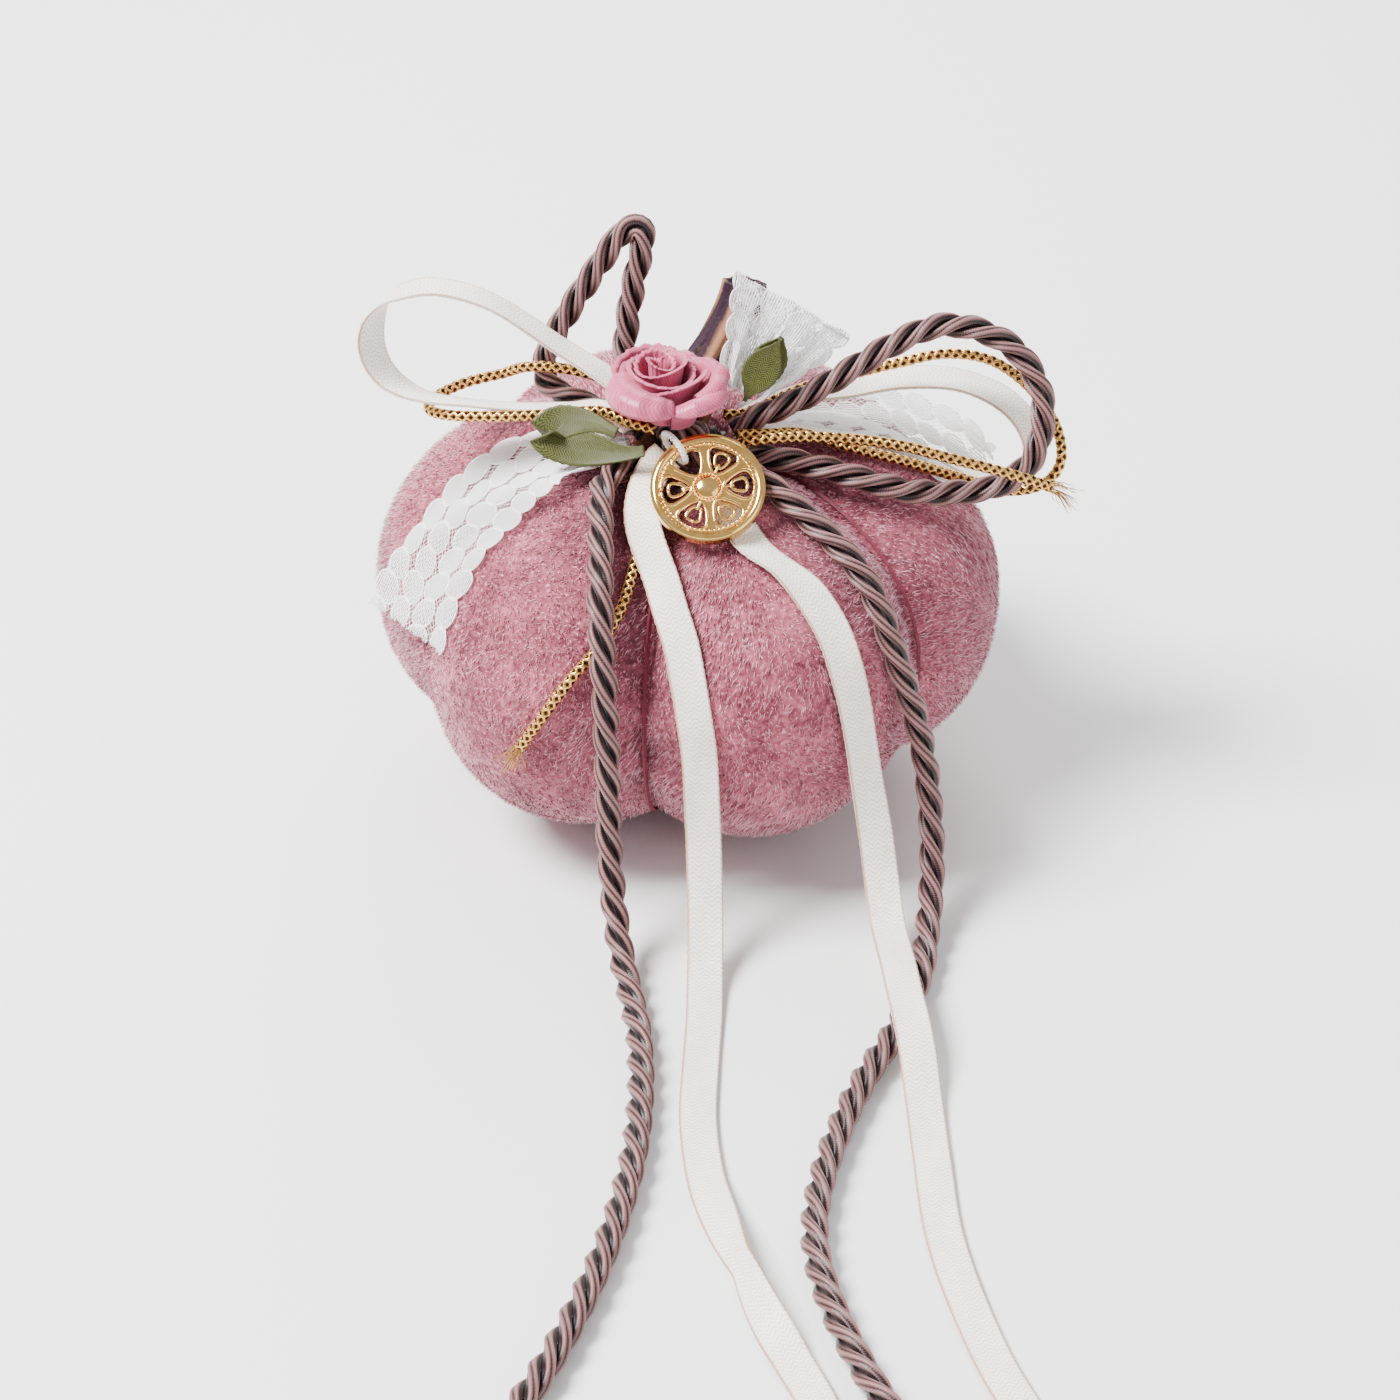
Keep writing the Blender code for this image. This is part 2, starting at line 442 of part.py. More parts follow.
def make_threads():
    """Shaping threads in the creases and the gathering thread round the neck."""
    out = THREAD_DIAMETER / 2 + THREAD_STANDOFF
    low, high = math.radians(THREAD_LOW), math.radians(THREAD_HIGH)
    for number, degrees in enumerate(CREASE_ANGLES, 1):
        angle = math.radians(degrees)
        line = [body_point(angle, low + (high - low) * i / 23, -out) for i in range(24)]
        tube(f"groove_thread_{number}", line, THREAD_DIAMETER, thread, resolution=0)
    out = NECK_THREAD_DIAMETER / 2 + THREAD_STANDOFF
    ring = [body_point(math.tau * i / 36, math.radians(NECK_THREAD_HEIGHT), -out) for i in range(36)]
    top = max(point.z for point in ring)
    for point in ring:
        point.z = top
    tube("neck_gather_thread", ring, NECK_THREAD_DIAMETER, thread, cyclic=True, resolution=0)


def make_stem():
    """Dried stem, thick at the foot and leaning to the right."""
    foot = lean(Vector((0, 0, BODY_HALF_HEIGHT - TOP_DIP)))
    around = [i * math.tau / 24 for i in range(24)]
    seat = max(
        top_height(foot.x + STEM_FOOT_RADIUS * math.cos(a), foot.y + STEM_FOOT_RADIUS * math.sin(a)) for a in around
    )
    curve = bpy.data.curves.new("dried_stem", "CURVE")
    curve.dimensions = "3D"
    curve.bevel_depth = 1
    curve.bevel_resolution = 4
    curve.use_fill_caps = True
    spline = curve.splines.new("POLY")
    count = 9
    spline.points.add(count - 1)
    for i, point in enumerate(spline.points):
        t = i / (count - 1)
        sway = t * t * (3 - 2 * t) * 0.6 + t * 0.4
        rise = seat + STEM_CLEARANCE + STEM_HEIGHT * t
        point.co = (foot.x + STEM_LEAN_RIGHT * sway, foot.y + STEM_LEAN_BACK * t, rise, 1)
        point.radius = STEM_FOOT_RADIUS + (STEM_TIP_RADIUS - STEM_FOOT_RADIUS) * min(1, 1.6 * t)
    add_object("dried_stem", curve, bark)


# ---- Bow centre ----


def knot_centre():
    """Centre of the bow knot, resting on the velvet."""
    highest = 0
    for i in range(24):
        for share in (0, 0.35, 0.7, 0.9):
            angle = math.tau * i / 24
            x = KNOT_X + KNOT_HALF.x * share * math.cos(angle)
            y = KNOT_Y + KNOT_HALF.y * share * math.sin(angle)
            depth = KNOT_HALF.z * math.sqrt(1 - share * share)
            highest = max(highest, top_height(x, y) + depth)
    return Vector((KNOT_X, KNOT_Y, highest + GAP))


def make_knot(centre):
    """The twisted cord's knot at the middle of the bow."""
    bm = bmesh.new()
    bmesh.ops.create_uvsphere(bm, u_segments=20, v_segments=12, radius=1)
    bmesh.ops.scale(bm, vec=KNOT_HALF, verts=bm.verts)
    bmesh.ops.translate(bm, vec=centre, verts=bm.verts)
    add_object("bow_knot", mesh_from("bow_knot", bm), mauve)


# ---- Rose ----


def turned(name, profile, place, material, steps=22, ring=False):
    """A turned piece: a profile of (radius, height) that runs down its outer side."""
    bm = bmesh.new()
    verts = [bm.verts.new((radius, 0, height)) for radius, height in profile]
    pairs = list(zip(verts, verts[1:])) + ([(verts[-1], verts[0])] if ring else [])
    for a, b in pairs:
        bm.edges.new((a, b))
    obj = add_object(name, mesh_from(name, bm, smooth=False), material)
    screw = obj.modifiers.new("turn", "SCREW")
    screw.steps = steps
    screw.render_steps = steps
    screw.use_merge_vertices = True
    screw.merge_threshold = 0.00001
    obj.location = place
    return obj


def make_rose(centre):
    """Ribbon rose: a folded outer wrap with its floor, an inner wrap and a rolled bud."""
    place = centre + ROSE_OFFSET
    top = ROSE_HEIGHT
    well = ROSE_RADIUS - ROSE_WALL
    turned(
        "rose_outer_wrap",
        [
            (0, ROSE_FLOOR),
            (well - 0.001, ROSE_FLOOR),
            (well, top - 0.002),
            (ROSE_RADIUS - ROSE_WALL / 2, top - 0.0012),
            (ROSE_RADIUS, top - 0.0028),
            (ROSE_RADIUS, top * 0.4),
            (ROSE_FOOT_RADIUS, 0),
            (0, 0),
        ],
        place,
        rose_pink,
    )
    outer = well - 0.001 - GAP
    inner = outer - INNER_WRAP_THICKNESS
    base = ROSE_FLOOR + GAP
    turned(
        "rose_inner_wrap",
        [(inner, top - 0.001), ((inner + outer) / 2, top - 0.0004), (outer, top - 0.002), (outer, base), (inner, base)],
        place,
        rose_pink,
        ring=True,
    )
    bud = min(BUD_RADIUS, inner - GAP)
    turned("rose_bud", [(0, top), (bud * 0.7, top), (bud, top - 0.001), (bud, base), (0, base)], place, rose_pink)


# ---- Charm ----


def make_charm(centre):
    """Openwork charm on its white cord loop."""
    middle = centre + CHARM_OFFSET
    flat = Matrix.Rotation(CHARM_TILT, 3, "X")
    right, up, normal = flat.col[0], flat.col[1], flat.col[2]
    hang_reach = CHARM_RADIUS - CHARM_RIM / 2
    outward = right * math.cos(HANG_ANGLE) + up * math.sin(HANG_ANGLE)
    hang = middle + outward * hang_reach
    curve = bpy.data.curves.new("openwork_charm", "CURVE")
    curve.dimensions = "2D"
    curve.fill_mode = "BOTH"
    curve.extrude = CHARM_THICKNESS / 2
    shift = Vector((math.cos(HANG_ANGLE), math.sin(HANG_ANGLE), 0)) * hang_reach

    def outline(points):
        spline = curve.splines.new("POLY")
        spline.points.add(len(points) - 1)
        for point, (x, y) in zip(spline.points, points):
            point.co = (x - shift.x, y - shift.y, 0, 1)
        spline.use_cyclic_u = True

    outline([(CHARM_RADIUS * math.cos(a * math.tau / 48), CHARM_RADIUS * math.sin(a * math.tau / 48)) for a in range(48)])
    inner, outer = CHARM_HUB, CHARM_RADIUS - CHARM_RIM
    for hole in range(CHARM_HOLES):
        petal = []
        for step in range(14):
            turn = step * math.tau / 14
            swell = abs(math.cos(turn)) ** 0.7 * math.copysign(1, math.cos(turn))
            radius = (inner + outer) / 2 + (outer - inner) / 2 * swell
            half = math.pi / CHARM_HOLES - CHARM_SPOKE / 2 / radius
            side = abs(math.sin(turn)) ** 0.7 * math.copysign(1, math.sin(turn))
            angle = HANG_ANGLE + hole * math.tau / CHARM_HOLES + half * side
            petal.append((radius * math.cos(angle), radius * math.sin(angle)))
        outline(petal)
    charm = add_object("openwork_charm", curve, gold)
    charm.matrix_world = Matrix.Translation(hang) @ flat.to_4x4()

    along = outward * math.cos(HANG_LOOP_SLOPE) - normal * math.sin(HANG_LOOP_SLOPE)
    across = outward * math.sin(HANG_LOOP_SLOPE) + normal * math.cos(HANG_LOOP_SLOPE)
    half_long = (HANG_LOOP_LENGTH - HANG_CORD_DIAMETER) / 2
    half_wide = (HANG_LOOP_WIDTH - HANG_CORD_DIAMETER) / 2
    inside = CHARM_RIM / 2 + CHARM_THICKNESS / 2 + 2 * GAP
    anchor = hang + along * (2 * half_long - inside)
    line = []
    for i in range(20):
        turn = i * math.tau / 20
        line.append(along * half_long * (math.cos(turn) - 1) + across * half_wide * math.sin(turn))
    loop = tube("charm_hanging_loop", line, HANG_CORD_DIAMETER, cotton, cyclic=True)
    loop.location = anchor


def make_tail_knots():
    """Overhand knots that keep the twisted tails from unravelling."""
    for name, route in (("tail_knot_left", TWISTED_TAIL_LEFT), ("tail_knot_right", TWISTED_TAIL_RIGHT)):
        end, before = Vector(route[-1]) * MM, Vector(route[-2]) * MM
        ahead = (end - before).normalized()
        half = TAIL_KNOT_LENGTH / 2
        neck, shoulder = 0.48 * TAIL_KNOT_RADIUS, 0.83 * TAIL_KNOT_RADIUS
        profile = [(0, half), (neck, half * 0.96), (shoulder, half * 0.6), (TAIL_KNOT_RADIUS, 0)]
        profile += [(shoulder, -half * 0.6), (neck, -half * 0.96), (0, -half)]
        centre = end + ahead * (half + GAP)
        centre.z = TAIL_KNOT_RADIUS + GAP
        knot = turned(name, profile, centre, mauve, steps=14)
        knot.rotation_euler = ahead.to_track_quat("Z", "Y").to_euler()


clear_scene()
parts = bpy.data.collections.new("ring_bearer_pillow")
bpy.context.scene.collection.children.link(parts)

velvet = make_material("dusty_pink_velvet", (0.55, 0.22, 0.29), 0.9)
fibre = make_material("white_fibre", (0.85, 0.84, 0.82), 0.95)
thread = make_material("pink_thread", (0.5, 0.18, 0.25), 0.6)
felt = make_material("pink_felt", (0.5, 0.25, 0.3), 0.95)
bark = make_material("dried_stem", (0.3, 0.17, 0.1), 0.75)
mauve = make_material("mauve_twisted_cord", (0.2, 0.1, 0.1), 0.45)
satin = make_material("cream_satin", (0.85, 0.78, 0.68), 0.35)
gold_cord = make_material("gold_metallic_cord", (0.6, 0.36, 0.12), 0.35, 0.8)
lace_white = make_material("white_lace", (0.9, 0.88, 0.86), 0.7)
rose_pink = make_material("pink_satin", (0.55, 0.15, 0.25), 0.4)
leaf_green = make_material("olive_satin", (0.16, 0.18, 0.05), 0.45)
gold = make_material("polished_gold", (0.83, 0.56, 0.2), 0.12, 1.0)
cotton = make_material("white_cotton", (0.88, 0.86, 0.82), 0.8)

make_cover()
make_filling()
make_patch()
make_threads()
make_stem()
knot = knot_centre()
make_knot(knot)
make_rose(knot)
make_charm(knot)
free_cord("twisted_loop_left", TWISTED_LOOP_LEFT, TWISTED_DIAMETER, mauve)
free_cord("twisted_loop_right", TWISTED_LOOP_RIGHT, TWISTED_DIAMETER, mauve)
free_cord("twisted_tail_left", TWISTED_TAIL_LEFT, TWISTED_DIAMETER, mauve)
free_cord("twisted_tail_right", TWISTED_TAIL_RIGHT, TWISTED_DIAMETER, mauve)
make_tail_knots()
free_cord("gold_loop_left", GOLD_LOOP_LEFT, GOLD_DIAMETER, gold_cord)
free_cord("gold_loop_right", GOLD_LOOP_RIGHT, GOLD_DIAMETER, gold_cord)
free_cord("gold_tail_left", GOLD_TAIL_LEFT, GOLD_DIAMETER, gold_cord)
free_cord("gold_tail_right", GOLD_TAIL_RIGHT, GOLD_DIAMETER, gold_cord)
ribbon("ribbon_loop_left", RIBBON_LOOP_LEFT, RIBBON_WIDTH, satin, RIBBON_SPACING)
ribbon("ribbon_loop_right", RIBBON_LOOP_RIGHT, RIBBON_WIDTH, satin, RIBBON_SPACING)
ribbon("ribbon_tail_left", RIBBON_TAIL_LEFT, RIBBON_WIDTH, satin, RIBBON_SPACING)
ribbon("ribbon_tail_right", RIBBON_TAIL_RIGHT, RIBBON_WIDTH, satin, RIBBON_SPACING)
lace("lace_tail_left", LACE_TAIL_LEFT, clearance=LACE_CLEARANCE)
lace("lace_loop_right", LACE_LOOP_RIGHT)
lace("lace_tail_right", LACE_TAIL_RIGHT, clearance=LACE_CLEARANCE)
ribbon("leaf_loop_left", LEAF_LEFT, LEAF_WIDTH, leaf_green, LEAF_SPACING)
ribbon("leaf_loop_right", LEAF_RIGHT, LEAF_WIDTH, leaf_green, LEAF_SPACING)
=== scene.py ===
"""Velvet pumpkin ring bearer pillow: the looks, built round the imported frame.

Metres, +Z up, the front faces -Y, and the origin is at the centre of the face that the pillow stands on.
"""

import logging
import math
from dataclasses import dataclass, replace
from enum import Enum

import bpy
import numpy as np
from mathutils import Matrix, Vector


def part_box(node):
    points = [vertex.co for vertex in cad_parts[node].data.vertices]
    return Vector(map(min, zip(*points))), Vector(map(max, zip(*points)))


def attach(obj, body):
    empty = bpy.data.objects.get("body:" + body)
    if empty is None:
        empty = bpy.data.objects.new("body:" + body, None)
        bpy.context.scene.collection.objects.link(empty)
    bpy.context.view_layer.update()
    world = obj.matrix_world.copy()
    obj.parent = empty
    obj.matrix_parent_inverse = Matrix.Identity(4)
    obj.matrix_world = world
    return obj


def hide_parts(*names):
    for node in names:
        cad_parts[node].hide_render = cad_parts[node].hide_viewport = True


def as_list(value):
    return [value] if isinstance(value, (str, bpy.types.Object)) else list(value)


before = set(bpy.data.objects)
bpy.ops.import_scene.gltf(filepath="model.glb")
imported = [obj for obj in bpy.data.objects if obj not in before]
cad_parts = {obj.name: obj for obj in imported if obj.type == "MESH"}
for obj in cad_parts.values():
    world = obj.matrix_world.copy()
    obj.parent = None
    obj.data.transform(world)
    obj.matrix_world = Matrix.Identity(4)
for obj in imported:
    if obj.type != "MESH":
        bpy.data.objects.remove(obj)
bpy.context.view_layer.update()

LOG = logging.getLogger("pillow")
RANDOM_SEED = 7

Grid = np.ndarray
Colour = tuple[float, float, float]
Socket = bpy.types.NodeSocket

SIDES = ("left", "right")
UPWARD = np.array([0.0, 0.0, 1.0])

# ---- Routes of the cords and strips ----


def route(*rows: tuple) -> Grid:
    """A route in metres.

    Args:
        rows: each point in millimetres, then a strip's direction across, and for lace its width in millimetres.

    Returns:
        One row for each point, with its direction as it was given.
    """
    table = np.array(rows, float)
    table[:, :3] /= 1000
    table[:, 6:] /= 1000
    return table


ROUTES = {
    "twisted_loop_left": route(
        (-3.2, -5.4, 70), (-6.5, -1.5, 70.8), (-9.2, 2.5, 73.5), (-10.4, 5.5, 78), (-9.6, 7.6, 85), (-8.3, 8.8, 91.5),
        (-7.2, 9.6, 96), (-7.6, 10.2, 98.6), (-9.8, 10.6, 98.6), (-12.6, 10.4, 95.2), (-16.2, 10, 89.6),
        (-20, 9.4, 83.6), (-23.2, 8.2, 77.8), (-24.6, 5.8, 73.6), (-22.6, 2.6, 71.6), (-18.2, -0.6, 71),
        (-13.5, -3.6, 70.6), (-9.6, -6.6, 70), (-7.6, -8.2, 69.6),
    ),
    "twisted_loop_right": route(
        (8.2, -9.2, 69.8), (13, -7.6, 72.2), (19.8, -5.4, 74.2), (27.8, -3, 78.2), (36.4, -0.4, 82.6),
        (43.4, 1.4, 84.6), (50.4, 1.6, 83.6), (56.8, 0.2, 80.2), (60.8, -2.4, 74.2), (61.2, -5, 68), (59, -7.4, 62.6),
        (54, -9.2, 59.4), (48.4, -10.4, 58.8), (43.6, -11.6, 59.2), (38.2, -13.6, 60.8), (33.2, -14.6, 62.6),
        (26.4, -14, 64.6), (19.8, -12.8, 65.8), (14, -11.8, 66.4), (9, -11.4, 66.6),
    ),
    "twisted_tail_left": route(
        (-6.6, -13.6, 66.6), (-9.8, -16.8, 67.2), (-13.2, -21, 67.4), (-14.2, -27, 66.2), (-14, -33.6, 63.4),
        (-14, -39, 60.4), (-13.9, -43.8, 57.6), (-13.6, -48.2, 52.6), (-13.2, -51.2, 46.6), (-13, -52.6, 40),
        (-12.8, -53.6, 33.4), (-12.7, -55.2, 26.4), (-12.6, -57.4, 19.4), (-12.2, -60.8, 12.6), (-11.4, -65.8, 7.2),
        (-10.2, -72.4, 4), (-8.8, -80, 2.8), (-7.4, -90, 2.7), (-7, -105, 2.7), (-8.2, -121, 2.7), (-11.6, -139, 2.7),
        (-16.6, -156, 2.7), (-22.6, -171, 2.7), (-30, -185, 2.7), (-38.6, -198, 2.7), (-47, -209, 2.7),
    ),
    "twisted_tail_right": route(
        (6.4, -16.4, 67.4), (10.4, -19.6, 68), (14.6, -23.6, 67.2), (20.8, -28.4, 63.9), (27.5, -33.2, 59),
        (31.4, -36.6, 54), (34, -39.4, 48), (36.6, -41.2, 40.6), (38.8, -42, 33.4), (40.4, -43.2, 26.4),
        (41.4, -45.6, 19.6), (41.9, -49.6, 12.6), (41.6, -55.6, 6.8), (40.6, -63, 3.8), (39.4, -71, 2.7),
        (37.2, -79, 2.7), (33.6, -89, 2.7), (28.6, -100, 2.7), (24, -113, 2.7), (20.6, -127, 2.7), (19.8, -140, 2.7),
        (22.4, -154, 2.7), (27.6, -169, 2.7), (34, -182, 2.7), (41, -194, 2.7), (47.6, -204, 2.7),
    ),
    "gold_loop_left": route(
        (-5, -15.2, 73.6), (-9.8, -14.4, 74.6), (-14.2, -12.5, 75.6), (-21.5, -11.6, 74.6), (-31, -10.6, 73.6),
        (-39, -8.6, 72.6), (-43.6, -4.6, 71.4), (-43.4, 0.6, 71), (-38.4, 4.6, 71.8), (-31.6, 6, 73),
        (-27.6, 3.8, 75.4), (-22, 1.6, 76.4), (-16, 0.2, 75.8), (-11.4, -1.8, 74.4), (-8, -3.6, 73.5),
    ),
    "gold_loop_right": route(
        (6.6, -6, 71.4), (9.6, -5.4, 71.2), (14, -3.6, 72.2), (20, -1, 73.8), (27.6, 1.2, 75), (36.4, 3.6, 76.2),
        (45, 4.8, 77.4), (53, 5.2, 75.8), (59.6, 3.2, 71.6), (63.9, -1.4, 66.8), (64.8, -5, 61.8), (62, -5.6, 57.6),
        (56, -4.9, 55.8), (49, -6.2, 58.6), (39, -8.8, 63.4), (28.4, -9.6, 67), (19.8, -9, 69.4), (13.6, -11.4, 70.6),
        (8.8, -12.2, 70.9),
    ),
    "gold_tail_left": route(
        (-1.6, -16, 66.2), (-3.6, -18.4, 65.9), (-5.2, -22.6, 64.5), (-6.7, -27.9, 61.9), (-8.2, -34, 59),
        (-9.9, -39.9, 55.3), (-12, -43.4, 52.3), (-14.6, -46.2, 49.2), (-18.9, -48.5, 45), (-24, -49.6, 37.8),
        (-28.6, -48.1, 29.7),
    ),
    "gold_tail_right": route(
        (8.2, -14.6, 70.2), (12.8, -14.8, 71.4), (19.5, -13.4, 71.2), (28.1, -12.4, 70.2), (36.5, -14, 69.8),
        (45, -15.6, 68.2), (53.3, -16.4, 66.2), (58.5, -16.2, 64.3), (63.9, -14, 61.2),
    ),
    "ribbon_loop_left": route(
        (-7.2, -8.4, 73.7, 0.3, 1, 0), (-12.8, -3.8, 77.2, 0.3, 1, 0), (-21.5, -0.6, 81.8, 0.2, 1, 0),
        (-32.5, 0, 89.6, 0.1, 1, 0), (-42, 0, 92.6, 0.2, 1, 0), (-48.8, -0.4, 91.4, 0.5, 1, 0.2),
        (-52.6, -1.8, 87.4, 0.8, 1, 0.2), (-53.2, -3.4, 82.6, 0.9, 1, 0), (-50.6, -4.8, 78, 0.6, 1, 0),
        (-44.8, -5.6, 74.8, 0.2, 1, -0.2), (-37, -6.2, 73.8, 0, 1, -0.3), (-28.5, -6.8, 73.4, 0, 1, -0.3),
        (-20, -7.6, 73.6, 0, 1, -0.2), (-14.2, -8.6, 73.9, 0, 1, 0), (-8.8, -12.2, 72.3, 0.2, 1, 0),
    ),
    "ribbon_loop_right": route(
        (9.2, -4, 69.2, 0, 1, 0), (14.6, -0.6, 70.2, 0, 1, 0.1), (21, 2.6, 71, 0, 1, 0.1), (28.6, 5, 71, 0, 1, 0.2),
        (37.4, 7.2, 71.4, 0, 1, 0.2), (47.4, 8.4, 70.4, 0.1, 1, 0.2), (55.6, 7.6, 67, 0.5, 1, 0.2),
        (60.4, 4.8, 62.2, 0.9, 1, 0), (60.6, 1.4, 57.6, 0.9, 1, 0), (56.4, -0.8, 55.2, 0.4, 1, 0),
        (50, -1.6, 57.2, 0, 1, -0.3), (42, -2.8, 62.2, 0, 1, -0.3), (33, -4, 65, 0, 1, -0.2),
        (24, -4.6, 66.6, 0, 1, -0.1), (16.4, -4.8, 67.6, 0, 1, 0), (9.6, -4.8, 67.4, 0, 1, 0),
    ),
    "ribbon_tail_left": route(
        (-3, -16.6, 69.4, 1, 0.2, 0), (-5.2, -18.8, 68, 1, 0.1, 0), (-6.8, -23.6, 66.4, 1, 0, 0.1),
        (-7.2, -28.4, 64.4, 1, 0, 0.1), (-6.2, -32.4, 61.7, 1, 0, 0), (-4, -37.4, 57.7, 1, 0, 0),
        (-2.4, -42.2, 54.4, 1, 0, 0), (-0.6, -46.6, 50.4, 1, 0, 0), (0.6, -50.4, 45.2, 1, 0, 0),
        (1.6, -52.8, 39.4, 1, 0, 0), (2.4, -54, 33.2, 1, 0, 0), (2.8, -55.8, 26, 1, 0, 0), (3.1, -58, 18.8, 1, 0, 0),
        (3.3, -61.4, 12, 1, 0, 0), (3.4, -66.6, 6.2, 1, 0, 0), (3.3, -73.4, 2.2, 1, 0, 0), (3.2, -82, 0.8, 1, 0, 0),
        (2.6, -94, 0.7, 1, 0, 0), (2.2, -108, 0.7, 1, 0, 0), (3.4, -122, 1, 1, 0, 0.1), (6, -134, 2.2, 0.8, 0, 0.6),
        (8.6, -143, 3, 0.4, 0, 1), (11.6, -152, 2.4, 0.8, 0, 0.7), (15.6, -161, 1, 1, 0.3, 0.1),
        (19.6, -171, 0.7, 1, 0.3, 0), (22, -182, 0.7, 1, 0.1, 0), (22, -194, 0.7, 1, 0, 0),
        (19.6, -205, 0.7, 1, -0.2, 0),
    ),
    "ribbon_tail_right": route(
        (1.2, -17.6, 65.8, 1, 0, 0), (3.8, -21.6, 65.8, 1, 0, 0), (7.6, -27.4, 64.2, 1, 0.1, 0),
        (11.4, -33.4, 61.8, 1, 0.1, -0.2), (16.4, -37.2, 59.6, 1, 0, -0.4), (20.6, -40.4, 56.6, 1, 0, -0.3),
        (24.4, -43.8, 51.6, 1, 0.2, -0.1), (26.6, -46.4, 46, 1, 0.3, 0), (28.2, -47.8, 39.4, 1, 0.5, 0),
        (29.4, -48.6, 32.4, 1, 0.6, 0), (30.6, -50, 25, 1, 0.5, 0), (31.9, -52.6, 17.8, 1, 0.3, 0),
        (33, -57, 10.8, 1, 0.1, 0), (33.9, -63, 6, 1, 0, 0), (34.6, -69, 5.6, 1, 0, 0), (35.2, -75, 6, 1, 0, 0),
        (35.8, -82, 6.2, 1, 0, 0), (36.6, -89, 6, 1, 0, 0), (37.4, -96, 4.2, 1, 0, 0), (38, -104, 1.4, 1, 0, 0),
        (38.6, -118, 0.7, 1, 0, 0), (39.4, -134, 0.7, 1, 0, 0), (42.2, -150, 0.7, 1, 0.1, 0),
        (46.6, -166, 0.7, 1, 0.2, 0), (53, -180, 0.7, 1, 0.4, 0), (61.4, -192, 0.7, 1, 0.6, 0),
    ),
    "lace_tail_left": route(
        (-9.6, -11.4, 68, 0.1, -1, 0.4, 11), (-15, -11.2, 67.4, 0.1, -1, 0.2, 18),
        (-21.6, -10.6, 66.2, 0.08, -1, 0.05, 24), (-28.5, -12.2, 63.4, 0.18, -0.97, 0, 25),
        (-34.8, -15.2, 59.4, 0.32, -0.92, 0, 25), (-40, -18.8, 54.2, 0.45, -0.85, 0.08, 25),
        (-44.2, -22.6, 47.8, 0.6, -0.75, 0.18, 25), (-47.8, -25.8, 40.5, 0.72, -0.62, 0.3, 25),
    ),
    "lace_loop_right": route(
        (10, -4.6, 74.8, 0.84, 0, -0.54, 8), (11.6, -4.2, 78.6, 0.84, 0, -0.54, 13),
        (14.6, -3.8, 83.6, 0.84, 0, -0.54, 19), (17.2, -3.2, 88, 0.84, 0, -0.54, 23),
        (18.6, -2, 90.4, 0.84, 0, -0.54, 24), (17.8, -1, 88.4, 0.84, 0, -0.54, 22),
        (15.6, -1.2, 83.6, 0.84, 0, -0.54, 18), (13, -1.6, 78.6, 0.84, 0, -0.54, 12),
        (11.4, -2.4, 74.8, 0.84, 0, -0.54, 8),
    ),
    "lace_tail_right": route(
        (9.8, 3.4, 66.4, 0, 1, 0, 6), (16, 5, 65, 0, 1, 0.1, 12), (23, 6, 64, 0, 1, 0.15, 19),
        (31, 6.8, 62.6, 0, 1, 0.2, 23), (39, 7, 60, 0.1, 1, 0.25, 24), (46.4, 6.6, 56.4, 0.2, 1, 0.3, 22),
        (52.6, 5.6, 52, 0.3, 1, 0.3, 17),
    ),
    "leaf_loop_left": route(
        (-6.8, -20.4, 72.4, 0, 0.62, 0.78), (-10.6, -19.8, 71.6, 0, 0.62, 0.78), (-15.6, -18.2, 71.4, 0, 0.62, 0.78),
        (-20.6, -16.4, 71.6, 0.1, 0.62, 0.78), (-23, -15.2, 72.8, 0.1, 0.62, 0.78),
        (-20.8, -14.2, 74.4, 0.1, 0.62, 0.78), (-16, -15.2, 75, 0, 0.62, 0.78), (-11.4, -17.6, 74.2, 0, 0.62, 0.78),
    ),
    "leaf_loop_right": route(
        (10, -9.4, 75.8, 0.8, -0.2, -0.5), (12.2, -8.2, 79.8, 0.8, -0.2, -0.5), (14.6, -7, 83.6, 0.8, -0.2, -0.5),
        (16.2, -6.2, 86.2, 0.8, -0.2, -0.5), (15.4, -5.4, 83.8, 0.8, -0.2, -0.5), (13.2, -6.2, 79.8, 0.8, -0.2, -0.5),
        (11.2, -7.4, 76, 0.8, -0.2, -0.5),
    ),
}


# ---- Finishes ----

SHEEN_ROUGHNESS = 0.45
SPECULAR_LEVEL = 0.3
BUMP_STRENGTH = 0.8
# The pale pink here is the colour of the painted highlights on the velvet pile.
BLACK, WHITE, GLINT_PINK = (0, 0, 0), (1, 1, 1), (0.74, 0.32, 0.4)


class Surface(Enum):
    """The kinds of surface detail that a finish can have."""

    PILE = "pile"
    STRANDS = "strands"
    WEAVE = "weave"
    BRAID = "braid"
    BARK = "bark"
    FELT = "felt"
    METAL = "metal"


